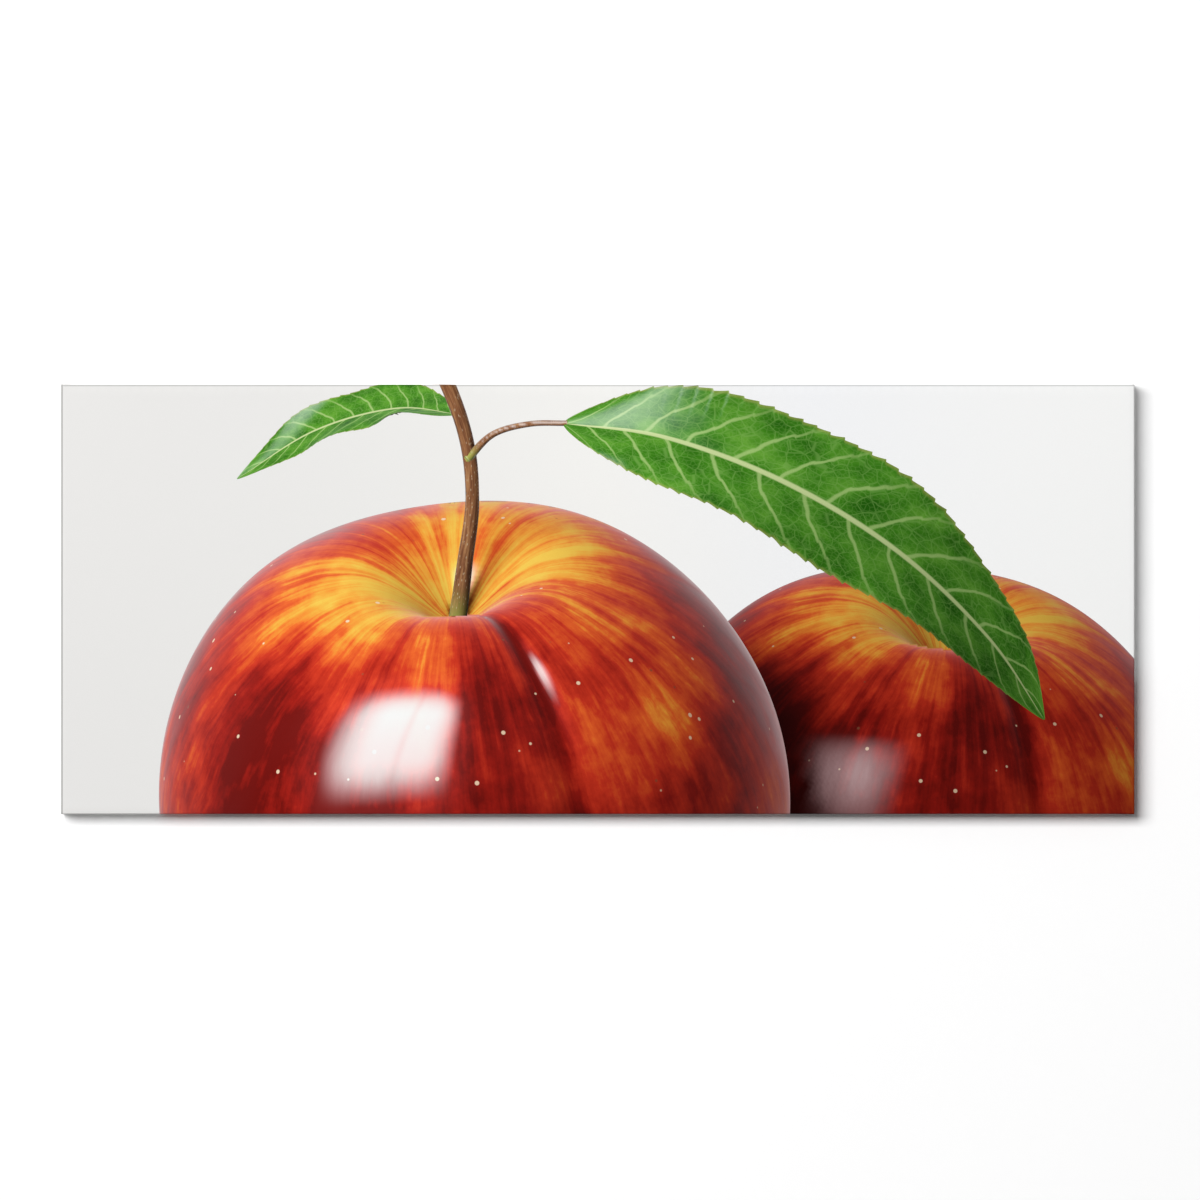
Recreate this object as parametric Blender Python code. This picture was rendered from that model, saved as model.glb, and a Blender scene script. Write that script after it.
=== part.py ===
"""Panoramic canvas wall print: cotton cloth stretched over a keyed pine frame and stapled behind.

Metres, +Z up. The picture side faces -Y and the wall is at +Y. The origin is the middle of the
object's box, half way between the front of the cloth and the two felt pads that touch the wall.
"""

import math

import bmesh
import bpy
from mathutils import Matrix, Vector

# Driving dimensions
PRINT_WIDTH = 1.250
PRINT_HEIGHT = 0.500
CLOTH = 0.0006
CLEARANCE = 0.0003

BAR_WIDTH = 0.040
BAR_DEPTH = 0.020
BAR_EDGE_RADIUS = 0.002
BAR_LIP = 0.007
BAR_SLOPE_DROP = 0.003
BAR_CHAMFER = 0.0015

BRACE_WIDTH = 0.040
BRACE_THICKNESS = 0.013
TENON_WIDTH = 0.026
TENON_THICKNESS = 0.006
TENON_LENGTH = 0.012

WEDGE_THICKNESS = 0.0034
WEDGE_OUT = 0.015
WEDGE_IN = 0.020
WEDGE_WIDE_END = 0.009
WEDGE_NARROW_END = 0.003

FLAP_WIDTH = 0.025
CORNER_RADIUS = 0.0012
CORNER_STEPS = 4

STAPLE_CROWN = 0.010
STAPLE_WIRE_WIDTH = 0.0012
STAPLE_WIRE_THICKNESS = 0.0006
STAPLE_LEG = 0.007
STAPLE_INSET = 0.014
STAPLES_ON_LONG_BAR = 13
STAPLES_ON_SHORT_BAR = 5
STAPLE_END_MARGIN = 0.050

HANGER_LENGTH = 0.048
HANGER_HEIGHT = 0.009
HANGER_THICKNESS = 0.001
HANGER_RISE = 0.0014
HANGER_FLAT_END = 0.010
HANGER_RAMP = 0.003
HANGER_OFFSET_X = 0.300
HANGER_INSET = 0.0325
TOOTH_COUNT = 7
TOOTH_PITCH = 0.0032
TOOTH_DEPTH = 0.0022

NAIL_SHANK_RADIUS = 0.0009
NAIL_HEAD_RADIUS = 0.0022
NAIL_HEAD_HEIGHT = 0.0009
NAIL_LENGTH = 0.012
NAIL_SIDES = 16

PAD_RADIUS = 0.006
PAD_HEIGHT = 0.0024
PAD_SIDES = 32
PAD_INSET = 0.012

# Depths along Y, worked out from the front of the cloth to the back of the pads
TOTAL_DEPTH = BAR_DEPTH + PAD_HEIGHT + 2 * CLOTH + 3 * CLEARANCE
CLOTH_FRONT = -TOTAL_DEPTH / 2
BAR_FRONT = CLOTH_FRONT + CLOTH + CLEARANCE
BAR_BACK = BAR_FRONT + BAR_DEPTH
FLAP_FRONT = BAR_BACK + CLEARANCE
FLAP_BACK = FLAP_FRONT + CLOTH
PAD_FRONT = FLAP_BACK + CLEARANCE

# Half sizes of the frame's outline, inside the cloth
HALF_WIDTH = PRINT_WIDTH / 2 - CLOTH - CLEARANCE
HALF_HEIGHT = PRINT_HEIGHT / 2 - CLOTH - CLEARANCE
INNER_HALF_WIDTH = HALF_WIDTH - BAR_WIDTH
INNER_HALF_HEIGHT = HALF_HEIGHT - BAR_WIDTH

# Each side of the frame: its name, its half length, how far out it lies, and its turn about Y
SIDES = (
    ("bottom", HALF_WIDTH, HALF_HEIGHT, 0.0),
    ("left", HALF_HEIGHT, HALF_WIDTH, math.radians(90)),
    ("top", HALF_WIDTH, HALF_HEIGHT, math.radians(180)),
    ("right", HALF_HEIGHT, HALF_WIDTH, math.radians(270)),
)


def clear_scene():
    for obj in list(bpy.data.objects):
        bpy.data.objects.remove(obj)


def material(name, colour, roughness, metallic=0.0):
    made = bpy.data.materials.new(name)
    made.use_nodes = True
    shader = made.node_tree.nodes["Principled BSDF"]
    shader.inputs["Base Color"].default_value = (*colour, 1.0)
    shader.inputs["Roughness"].default_value = roughness
    shader.inputs["Metallic"].default_value = metallic
    return made


def add_object(name, bm, finish, smooth_below=None):
    """Turns a bmesh into a named object, with its normals outwards and its material on it."""
    bmesh.ops.recalc_face_normals(bm, faces=bm.faces)
    mesh = bpy.data.meshes.new(name)
    bm.to_mesh(mesh)
    bm.free()
    if smooth_below is not None:
        mesh.shade_smooth()
        mesh.set_sharp_from_angle(angle=math.radians(smooth_below))
    obj = bpy.data.objects.new(name, mesh)
    if finish is not None:
        mesh.materials.append(finish)
    bpy.context.scene.collection.objects.link(obj)
    return obj


def as_cutter(obj):
    obj.hide_render = True
    obj.display_type = "WIRE"
    return obj


def cut(obj, cutter):
    """Cuts one object's shape out of another with a Boolean modifier."""
    modifier = obj.modifiers.new("cut_" + cutter.name, "BOOLEAN")
    modifier.operation = "DIFFERENCE"
    modifier.solver = "EXACT"
    modifier.object = cutter


def add_box(bm, centre, size, turn=0.0):
    """Adds a box to the bmesh, turned about the print's middle by an angle about Y."""
    place = Matrix.Rotation(turn, 4, "Y") @ Matrix.Translation(centre) @ Matrix.Diagonal((*size, 1))
    bmesh.ops.create_cube(bm, size=1.0, matrix=place)


def add_prism(bm, outline, low_y, high_y):
    """Adds a prism: an outline of (x, z) points, run along Y between two depths."""
    near = [bm.verts.new((x, low_y, z)) for x, z in outline]
    far = [bm.verts.new((x, high_y, z)) for x, z in outline]
    bm.faces.new(near)
    bm.faces.new(reversed(far))
    for i in range(len(outline)):
        j = (i + 1) % len(outline)
        bm.faces.new((near[i], far[i], far[j], near[j]))


def arc(centre, radius, start_deg, end_deg, steps):
    """Points on an arc of (across, depth) pairs, both ends included."""
    angles = [math.radians(start_deg + (end_deg - start_deg) * i / steps) for i in range(steps + 1)]
    return [(centre[0] + radius * math.cos(a), centre[1] + radius * math.sin(a)) for a in angles]


def bar_profile():
    """The bar's section as (inset from the outer face, depth). Only its outer lip meets the cloth."""
    round_centre = (BAR_EDGE_RADIUS, BAR_FRONT + BAR_EDGE_RADIUS)
    return [
        *arc(round_centre, BAR_EDGE_RADIUS, 180, 270, CORNER_STEPS),
        (BAR_LIP, BAR_FRONT),
        (BAR_WIDTH, BAR_FRONT + BAR_SLOPE_DROP),
        (BAR_WIDTH, BAR_BACK - BAR_CHAMFER),
        (BAR_WIDTH - BAR_CHAMFER, BAR_BACK),
        (BAR_CHAMFER, BAR_BACK),
        (0.0, BAR_BACK - BAR_CHAMFER),
    ]


def mitred_bar(name, half_length, outward, turn, finish):
    """One stretcher bar, its section run along X and its ends mitred at 45 degrees."""
    bm = bmesh.new()
    ends = []
    for side in (-1, 1):
        ring = []
        for inset, depth in bar_profile():
            along = side * (half_length - inset - CLEARANCE / 2)
            ring.append(bm.verts.new((along, depth, inset - outward)))
        ends.append(ring)
    left, right = ends
    bm.faces.new(left)
    bm.faces.new(reversed(right))
    for i in range(len(left)):
        j = (i + 1) % len(left)
        bm.faces.new((left[i], right[i], right[j], left[j]))
    bar = add_object(name, bm, finish, smooth_below=30)
    bar.rotation_euler = (0, turn, 0)
    return bar


def centre_brace(finish):
    """The upright that keeps the long bars apart, with a tenon at each end."""
    body_length = 2 * (INNER_HALF_HEIGHT - CLEARANCE)
    bm = bmesh.new()
    body_y = BAR_BACK - BRACE_THICKNESS / 2
    add_box(bm, Vector((0, body_y, 0)), (BRACE_WIDTH, BRACE_THICKNESS, body_length))
    brace = add_object("brace_centre", bm, finish)
    tenons = bmesh.new()
    tenon_size = (TENON_WIDTH, TENON_THICKNESS, body_length + 2 * TENON_LENGTH)
    add_box(tenons, Vector((0, body_y, 0)), tenon_size)
    tenon_bar = as_cutter(add_object("tenon_bar", tenons, None))
    join = brace.modifiers.new("tenons", "BOOLEAN")
    join.operation = "UNION"
    join.object = tenon_bar
    return brace


def mortise_cutter():
    bm = bmesh.new()
    centre = Vector((0, BAR_BACK - BRACE_THICKNESS / 2, 0))
    size = (
        TENON_WIDTH + 2 * CLEARANCE,
        TENON_THICKNESS + 2 * CLEARANCE,
        2 * (INNER_HALF_HEIGHT + TENON_LENGTH + CLEARANCE),
    )
    add_box(bm, centre, size)
    return as_cutter(add_object("mortise_cutter", bm, None))


def wedge_outline(grow):
    """A wedge as (along, across) points from the frame's inner corner, bigger by grow all round."""
    across = CLEARANCE - grow
    return [
        (-WEDGE_IN - grow, across),
        (WEDGE_OUT + grow, across),
        (WEDGE_OUT + grow, CLEARANCE + WEDGE_WIDE_END + grow),
        (-WEDGE_IN - grow, CLEARANCE + WEDGE_NARROW_END + grow),
    ]


def wedge_points(corner_x, corner_z, upright, grow):
    """The outline placed at a corner: the flat wedge runs along X, the upright one along Z."""
    points = []
    for along, across in wedge_outline(grow):
        x, z = (across, along) if upright else (along, across)
        points.append((corner_x * (INNER_HALF_WIDTH - x), corner_z * (INNER_HALF_HEIGHT - z)))
    return points


def corner_wedges(finish):
    """Two thin keys in each inner corner, one behind the other, and the cutter for their slots."""
    middle = (BAR_FRONT + BAR_SLOPE_DROP + BAR_BACK) / 2
    slots = bmesh.new()
    corners = (("bottom_left", -1, -1), ("bottom_right", 1, -1), ("top_left", -1, 1), ("top_right", 1, 1))
    for label, corner_x, corner_z in corners:
        for kind, upright, layer in (("flat", False, 1), ("upright", True, -1)):
            centre = middle + layer * (WEDGE_THICKNESS + CLEARANCE) / 2
            low, high = centre - WEDGE_THICKNESS / 2, centre + WEDGE_THICKNESS / 2
            bm = bmesh.new()
            add_prism(bm, wedge_points(corner_x, corner_z, upright, 0.0), low, high)
            add_object(f"wedge_{label}_{kind}", bm, finish)
            slot = wedge_points(corner_x, corner_z, upright, CLEARANCE)
            add_prism(slots, slot, low - CLEARANCE, high + CLEARANCE)
    return slots


def wedge_slot_cutters(slots):
    """Splits the slots into a cutter for each layer, so that no two of its prisms cross."""
    bmesh.ops.recalc_face_normals(slots, faces=slots.faces)
    middle = (BAR_FRONT + BAR_SLOPE_DROP + BAR_BACK) / 2
    cutters = []
    for name, sign in (("flat_slot_cutter", 1), ("upright_slot_cutter", -1)):
        layer = slots.copy()
        others = [f for f in layer.faces if (mean_depth_of_body(f) - middle) * sign < 0]
        bmesh.ops.delete(layer, geom=others, context="FACES")
        cutters.append(as_cutter(add_object(name, layer, None)))
    slots.free()
    return cutters


def mean_depth_of_body(face):
    """The middle depth of the closed prism that a face belongs to."""
    seen = {face}
    front = [face]
    while front:
        for edge in front.pop().edges:
            for other in edge.link_faces:
                if other not in seen:
                    seen.add(other)
                    front.append(other)
    depths = [v.co.y for f in seen for v in f.verts]
    return (min(depths) + max(depths)) / 2


def rounded_ring(bm, inset, depth):
    """A rectangle of the print's outline, inset, with its four corners rounded."""
    radius = max(CORNER_RADIUS - inset, CLOTH)
    across, up = PRINT_WIDTH / 2 - inset - radius, PRINT_HEIGHT / 2 - inset - radius
    ring = []
    for start, side_x, side_z in ((0, 1, 1), (90, -1, 1), (180, -1, -1), (270, 1, -1)):
        for x, z in arc((side_x * across, side_z * up), radius, start, start + 90, CORNER_STEPS):
            ring.append(bm.verts.new((x, depth, z)))
    return ring


def cloth_section():
    """The cloth's section as (inset, depth) points: out from the flap's end, round, and back inside."""
    outer = BAR_EDGE_RADIUS + CLOTH + CLEARANCE
    inner = outer - CLOTH
    front_centre = (outer, CLOTH_FRONT + outer)
    back_centre = (outer, FLAP_BACK - outer)
    outside = [
        (FLAP_WIDTH, FLAP_BACK),
        *reversed(arc(back_centre, outer, 180, 90, CORNER_STEPS)[:]),
        *arc(front_centre, outer, 180, 270, CORNER_STEPS),
    ]
    inside = [
        *arc(front_centre, inner, 270, 180, CORNER_STEPS),
        *arc((outer, back_centre[1]), inner, 180, 90, CORNER_STEPS),
        (FLAP_WIDTH, FLAP_FRONT),
    ]
    return outside, inside


def stretched_cloth(finish):
    """The cloth as one closed sheet: a flat front, four sides, and a flap behind each bar."""
    bm = bmesh.new()
    outside, inside = cloth_section()
    rings = [rounded_ring(bm, inset, depth) for inset, depth in outside + inside]
    inner_start = len(outside)
    for k in range(len(rings)):
        if k == inner_start - 1:
            bm.faces.new(rings[k])
            bm.faces.new(reversed(rings[k + 1]))
            continue
        here, there = rings[k], rings[(k + 1) % len(rings)]
        for i in range(len(here)):
            j = (i + 1) % len(here)
            bm.faces.new((here[i], here[j], there[j], there[i]))
    return add_object("canvas", bm, finish, smooth_below=40)


def staple_places():
    """(side name, outward distance, turn, position along the bar) for every staple, by a rule."""
    places = []
    for name, half_length, outward, turn in SIDES:
        count = STAPLES_ON_LONG_BAR if half_length == HALF_WIDTH else STAPLES_ON_SHORT_BAR
        reach = half_length - STAPLE_END_MARGIN
        for i in range(count):
            places.append((name, outward, turn, -reach + 2 * reach * i / (count - 1)))
    return places


def staple_boxes(outward, grow):
    """The crown and the two legs of a staple at the middle of a bar, as (centre, size) pairs."""
    crown_y = FLAP_BACK + CLEARANCE + STAPLE_WIRE_THICKNESS / 2
    z = STAPLE_INSET - outward
    leg_x = (STAPLE_CROWN - STAPLE_WIRE_THICKNESS) / 2
    leg_y = crown_y - STAPLE_LEG / 2
    leg = (STAPLE_WIRE_THICKNESS + 2 * grow, STAPLE_LEG + 2 * grow, STAPLE_WIRE_WIDTH + 2 * grow)
    crown = (STAPLE_CROWN, STAPLE_WIRE_THICKNESS, STAPLE_WIRE_WIDTH)
    legs = [((side * leg_x, leg_y, z), leg) for side in (-1, 1)]
    return (0.0, crown_y, z), crown, legs


def staple_outline():
    """The bent wire as (x, y) points, seen along the bar's inset: a crown with a leg at each end."""
    half, wire = STAPLE_CROWN / 2, STAPLE_WIRE_THICKNESS
    top = FLAP_BACK + CLEARANCE + wire
    tip = top - STAPLE_LEG
    return [
        (-half, top),
        (-half, tip),
        (-half + wire, tip),
        (-half + wire, top - wire),
        (half - wire, top - wire),
        (half - wire, tip),
        (half, tip),
        (half, top),
    ]


def staples(finish):
    """Every staple as its own object, and one cutter for all the holes of their legs."""
    holes = bmesh.new()
    numbers = {name: 0 for name, *_ in SIDES}
    for name, outward, turn, along in staple_places():
        numbers[name] += 1
        bm = bmesh.new()
        z = STAPLE_INSET - outward
        low, high = z - STAPLE_WIRE_WIDTH / 2, z + STAPLE_WIRE_WIDTH / 2
        near = [bm.verts.new((along + x, y, low)) for x, y in staple_outline()]
        far = [bm.verts.new((along + x, y, high)) for x, y in staple_outline()]
        bm.faces.new(near)
        bm.faces.new(reversed(far))
        for i in range(len(near)):
            j = (i + 1) % len(near)
            bm.faces.new((near[i], far[i], far[j], near[j]))
        staple = add_object(f"staple_{name}_{numbers[name]:02d}", bm, finish)
        staple.rotation_euler = (0, turn, 0)
        _, _, legs = staple_boxes(outward, CLEARANCE)
        for centre, size in legs:
            add_box(holes, Vector(centre) + Vector((along, 0, 0)), size, turn)
    return as_cutter(add_object("staple_hole_cutter", holes, None))


def hanger_section():
    """The hanger's strip as (x, depth) points: flat ends on the wood and a raised middle."""
    half, flat, ramp = HANGER_LENGTH / 2, HANGER_FLAT_END, HANGER_RAMP
    low = BAR_BACK + CLEARANCE
    near = [
        (-half, low),
        (-half + flat, low),
        (-half + flat + ramp, low + HANGER_RISE),
        (half - flat - ramp, low + HANGER_RISE),
        (half - flat, low),
        (half, low),
    ]
    return near + [(x, y + HANGER_THICKNESS) for x, y in reversed(near)]


def tooth_cutter(name, centre_x, low_z):
    """A row of notches, as prisms that are open downwards, along the hanger's lower edge."""
    bm = bmesh.new()
    for i in range(TOOTH_COUNT):
        x = centre_x + (i - (TOOTH_COUNT - 1) / 2) * TOOTH_PITCH
        half = TOOTH_PITCH * 0.45
        notch = [(x - half, low_z - TOOTH_DEPTH), (x + half, low_z - TOOTH_DEPTH), (x, low_z + TOOTH_DEPTH)]
        add_prism(bm, notch, BAR_BACK - CLEARANCE, BAR_BACK + 4 * HANGER_THICKNESS)
    return as_cutter(add_object(name, bm, None))


def nail_points(centre_x, centre_z):
    """Where the two nails of a hanger go."""
    reach = (HANGER_LENGTH - HANGER_FLAT_END) / 2
    return [(centre_x - reach, centre_z), (centre_x + reach, centre_z)]


def add_cylinder(bm, x, z, radius, low_y, high_y, sides):
    outline = arc((x, z), radius, 0, 360 * (sides - 1) / sides, sides - 1)
    add_prism(bm, outline, low_y, high_y)


def nail(name, x, z, finish):
    """A small nail with a flat head, made by spinning its outline about its own axis."""
    head_low = BAR_BACK + CLEARANCE + HANGER_THICKNESS + CLEARANCE
    head_top = head_low + NAIL_HEAD_HEIGHT
    tip = head_low - NAIL_LENGTH
    profile = [
        (0.0, head_top),
        (NAIL_HEAD_RADIUS * 0.75, head_top),
        (NAIL_HEAD_RADIUS, head_low + NAIL_HEAD_HEIGHT * 0.4),
        (NAIL_HEAD_RADIUS, head_low),
        (NAIL_SHANK_RADIUS, head_low),
        (NAIL_SHANK_RADIUS, tip + 2 * NAIL_SHANK_RADIUS),
        (0.0, tip),
    ]
    bm = bmesh.new()
    line = [bm.verts.new((radius, depth, 0.0)) for radius, depth in profile]
    edges = [bm.edges.new(pair) for pair in zip(line, line[1:])]
    bmesh.ops.spin(
        bm, geom=line + edges, cent=(0, 0, 0), axis=(0, 1, 0), angle=math.radians(360), steps=NAIL_SIDES
    )
    bmesh.ops.remove_doubles(bm, verts=bm.verts, dist=1e-6)
    made = add_object(name, bm, finish, smooth_below=40)
    made.location = (x, 0, z)
    return made


def sawtooth_hangers(strip_finish, nail_finish):
    """Two toothed strips on the top bar, each held by two nails, and the cutter for the nails."""
    centre_z = HALF_HEIGHT - HANGER_INSET
    low_z = centre_z - HANGER_HEIGHT / 2
    holes = bmesh.new()
    hangers = []
    for label, side in (("left", -1), ("right", 1)):
        centre_x = side * HANGER_OFFSET_X
        bm = bmesh.new()
        section = hanger_section()
        low = [bm.verts.new((centre_x + x, y, low_z)) for x, y in section]
        high = [bm.verts.new((centre_x + x, y, low_z + HANGER_HEIGHT)) for x, y in section]
        bm.faces.new(low)
        bm.faces.new(reversed(high))
        for i in range(len(section)):
            j = (i + 1) % len(section)
            bm.faces.new((low[i], high[i], high[j], low[j]))
        hanger = add_object(f"hanger_{label}", bm, strip_finish)
        cut(hanger, tooth_cutter(f"tooth_cutter_{label}", centre_x, low_z))
        hangers.append(hanger)
        for number, (x, z) in enumerate(nail_points(centre_x, centre_z), start=1):
            nail(f"nail_{label}_{number}", x, z, nail_finish)
            deep = BAR_BACK - NAIL_LENGTH
            top = BAR_BACK + 4 * HANGER_THICKNESS
            add_cylinder(holes, x, z, NAIL_SHANK_RADIUS + CLEARANCE, deep, top, NAIL_SIDES)
    cutter = as_cutter(add_object("nail_hole_cutter", holes, None))
    for hanger in hangers:
        cut(hanger, cutter)
    return cutter


def wall_pads(finish):
    """Two felt discs on the lower corners, which keep the print off the wall."""
    x = PRINT_WIDTH / 2 - PAD_INSET
    z = -PRINT_HEIGHT / 2 + PAD_INSET
    for label, side in (("left", -1), ("right", 1)):
        bm = bmesh.new()
        add_cylinder(bm, side * x, z, PAD_RADIUS, PAD_FRONT, PAD_FRONT + PAD_HEIGHT, PAD_SIDES)
        add_object(f"pad_{label}", bm, finish, smooth_below=40)


def main():
    clear_scene()
    pine = material("pine", (0.78, 0.60, 0.38), 0.62)
    wedge_wood = material("beech", (0.80, 0.64, 0.45), 0.55)
    cotton = material("printed_cotton", (0.85, 0.84, 0.82), 0.80)
    zinc = material("zinc_steel", (0.62, 0.63, 0.65), 0.35, 1.0)
    brass = material("brass_plate", (0.72, 0.56, 0.26), 0.32, 1.0)
    felt = material("felt", (0.30, 0.29, 0.28), 0.95)

    staple_holes = staples(zinc)
    nail_holes = sawtooth_hangers(brass, brass)
    mortises = mortise_cutter()
    flat_slots, upright_slots = wedge_slot_cutters(corner_wedges(wedge_wood))
    for name, half_length, outward, turn in SIDES:
        bar = mitred_bar(f"bar_{name}", half_length, outward, turn, pine)
        cut(bar, staple_holes)
        if name in ("top", "bottom"):
            cut(bar, mortises)
            cut(bar, upright_slots)
        else:
            cut(bar, flat_slots)
        if name == "top":
            cut(bar, nail_holes)
    centre_brace(pine)
    cut(stretched_cloth(cotton), staple_holes)
    wall_pads(felt)


main()
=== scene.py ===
# %% [markdown]
# # A panoramic canvas wall print
# The real object is cotton cloth with a picture printed on it, pulled tight over a frame of four
# pine bars, folded round the sides and stapled behind. It hangs flat on a white wall. The frame,
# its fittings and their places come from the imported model. This lesson adds what the eye reads:
# the printed cloth with its folded corners, the weave, the wood, the metal, the wall and the light.

# %% Load the frame and note its box
import math

import bmesh
import bpy
import numpy as np
from mathutils import Matrix, Vector
from mathutils.bvhtree import BVHTree
from mathutils.geometry import delaunay_2d_cdt


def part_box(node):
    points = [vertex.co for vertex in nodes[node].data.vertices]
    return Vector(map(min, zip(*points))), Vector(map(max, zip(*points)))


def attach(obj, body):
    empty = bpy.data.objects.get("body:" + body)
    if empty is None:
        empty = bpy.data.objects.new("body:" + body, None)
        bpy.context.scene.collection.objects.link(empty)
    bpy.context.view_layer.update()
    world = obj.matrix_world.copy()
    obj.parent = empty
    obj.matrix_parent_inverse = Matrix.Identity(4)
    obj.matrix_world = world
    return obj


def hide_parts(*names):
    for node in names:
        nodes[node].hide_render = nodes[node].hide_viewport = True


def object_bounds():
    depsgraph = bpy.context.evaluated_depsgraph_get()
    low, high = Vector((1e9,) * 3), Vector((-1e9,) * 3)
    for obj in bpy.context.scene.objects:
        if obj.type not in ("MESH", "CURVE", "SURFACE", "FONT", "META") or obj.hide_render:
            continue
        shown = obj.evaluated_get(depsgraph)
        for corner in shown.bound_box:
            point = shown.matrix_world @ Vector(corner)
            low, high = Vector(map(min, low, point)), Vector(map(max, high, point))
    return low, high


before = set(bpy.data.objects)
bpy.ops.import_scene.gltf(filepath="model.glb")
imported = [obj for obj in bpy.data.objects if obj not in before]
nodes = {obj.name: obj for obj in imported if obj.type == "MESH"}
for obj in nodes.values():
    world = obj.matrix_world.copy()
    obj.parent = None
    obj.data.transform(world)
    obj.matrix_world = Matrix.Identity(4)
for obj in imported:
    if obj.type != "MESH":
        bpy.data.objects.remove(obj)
cad_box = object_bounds()
cloth_low, cloth_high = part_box("canvas")
print("nodes:", len(nodes), "cloth box:", cloth_low[:], cloth_high[:])

# %% [markdown]
# ## Camera
# The photograph looks straight at the print from far away, so there is no visible perspective.
# A long lens from far back does the same and still turns well round the object. The picture is
# 1200 pixels wide, and the print takes up 1073.5 of them, which sets how much the lens covers.

# %% Camera
PICTURE_PIXELS = 1200
PRINT_PIXELS = 1073.5
PRINT_CENTRE_PIXEL = (597.75, 599.25)
LENS_MM = 300.0
SENSOR_MM = 36.0

print_width = cloth_high.x - cloth_low.x
print_height = cloth_high.z - cloth_low.z
metres_per_pixel = print_width / PRINT_PIXELS
covered = PICTURE_PIXELS * metres_per_pixel
distance = covered / 2 / (SENSOR_MM / 2 / LENS_MM)


def placed(name, data):
    """Puts a new object in the scene."""
    made = bpy.data.objects.new(name, data)
    bpy.context.scene.collection.objects.link(made)
    return made


camera_data = bpy.data.cameras.new("long_lens")
camera_data.lens = LENS_MM
camera_data.sensor_width = SENSOR_MM
camera_data.clip_end = 100.0
camera = placed("camera", camera_data)
camera.location = (
    (PICTURE_PIXELS / 2 - PRINT_CENTRE_PIXEL[0]) * metres_per_pixel,
    cloth_low.y - distance,
    (PRINT_CENTRE_PIXEL[1] - PICTURE_PIXELS / 2) * metres_per_pixel,
)
camera.rotation_euler = (math.radians(90), 0, 0)
bpy.context.scene.camera = camera
bpy.context.scene.view_settings.view_transform = "Standard"
print(f"the camera stands {distance:.2f} m away and covers {covered:.3f} m")

# %% [markdown]
# ## Small tools for meshes and finishes
# A Blender material is a net of nodes. A few helpers keep each recipe short enough to read: one
# adds any node and feeds its sockets, and the others do arithmetic, mix colours, spread noise,
# raise a relief and start a material.

# %% Tools for finishes


def put(tree, kind, feeds=None, **options):
    """Adds a node, sets its options, and feeds its sockets with values or other nodes' outputs."""
    node = tree.nodes.new("ShaderNode" + kind)
    for option, value in options.items():
        setattr(node, option, value)
    for socket, value in (feeds or {}).items():
        if isinstance(value, bpy.types.NodeSocket):
            tree.links.new(value, node.inputs[socket])
        else:
            node.inputs[socket].default_value = value
    return node


def calc(tree, operation, *values, clamp=False):
    """One step of arithmetic on numbers or outputs."""
    feeds = dict(enumerate(values))
    return put(tree, "Math", feeds, operation=operation, use_clamp=clamp).outputs[0]


def vector(tree, operation, *values):
    """One step of arithmetic on places or colours."""
    return put(tree, "VectorMath", dict(enumerate(values)), operation=operation).outputs[0]


def split(tree, place):
    """The three parts of a place or colour."""
    return put(tree, "SeparateXYZ", {0: place}).outputs


def step_length(tree, a, b):
    """The length of a step from its two parts."""
    squares = [calc(tree, "POWER", part, 2.0) for part in (a, b)]
    return calc(tree, "SQRT", calc(tree, "ADD", *squares))


def smooth(tree, value, low, high, to_low=0.0, to_high=1.0):
    """Runs a value smoothly from one number to another between two limits."""
    feeds = {"Value": value, "From Min": low, "From Max": high, "To Min": to_low, "To Max": to_high}
    return put(tree, "MapRange", feeds, interpolation_type="SMOOTHSTEP").outputs[0]


def mixed(tree, factor, a, b, way="MIX"):
    """Mixes colour b into colour a."""
    node = put(tree, "Mix", data_type="RGBA", blend_type=way)
    for index, value in ((0, factor), (6, a), (7, b)):
        if isinstance(value, bpy.types.NodeSocket):
            tree.links.new(value, node.inputs[index])
        else:
            node.inputs[index].default_value = value if index == 0 else (*value, 1.0)
    return node.outputs[2]


def ramp(tree, value, *stops):
    """Turns a number into a colour by stops of (place, colour)."""
    node = put(tree, "ValToRGB", {"Fac": value})
    elements = node.color_ramp.elements
    while len(elements) < len(stops):
        elements.new(0.5)
    for element, (place, colour) in zip(elements, stops):
        element.position = place
        element.color = (*colour, 1.0)
    return node.outputs[0]


def noise(tree, place, scale, detail=2.0, roughness=0.5, **options):
    feeds = {"Vector": place, "Scale": scale, "Detail": detail, "Roughness": roughness}
    return put(tree, "TexNoise", feeds, **options).outputs[0]


def scaled(tree, place, x, y, z, offset=(0, 0, 0)):
    """Stretches a place by three factors, and moves it."""
    return put(tree, "Mapping", {"Vector": place, "Scale": (x, y, z), "Location": offset}).outputs[0]


def new_finish(name, roughness=0.6, metallic=0.0, specular=0.5):
    """A material with its Principled shader, ready for a recipe."""
    finish = bpy.data.materials.new(name)
    finish.use_nodes = True
    shader = finish.node_tree.nodes["Principled BSDF"]
    shader.inputs["Roughness"].default_value = roughness
    shader.inputs["Metallic"].default_value = metallic
    shader.inputs["Specular IOR Level"].default_value = specular
    return finish, finish.node_tree, shader


def coloured(tree, shader, colour):
    tree.links.new(colour, shader.inputs["Base Color"])


def raised(tree, shader, height, strength, depth):
    """Gives a surface a fine relief, at most as deep as told, in metres."""
    bump = put(tree, "Bump", {"Strength": strength, "Distance": depth, "Height": height})
    tree.links.new(bump.outputs[0], shader.inputs["Normal"])


def object_place(tree):
    """Where a point is on the object, in metres."""
    return put(tree, "TexCoord").outputs["Object"]


def attribute(tree, name):
    """A value that the mesh carries at its corners."""
    return put(tree, "Attribute", attribute_name=name, attribute_type="GEOMETRY").outputs


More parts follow.
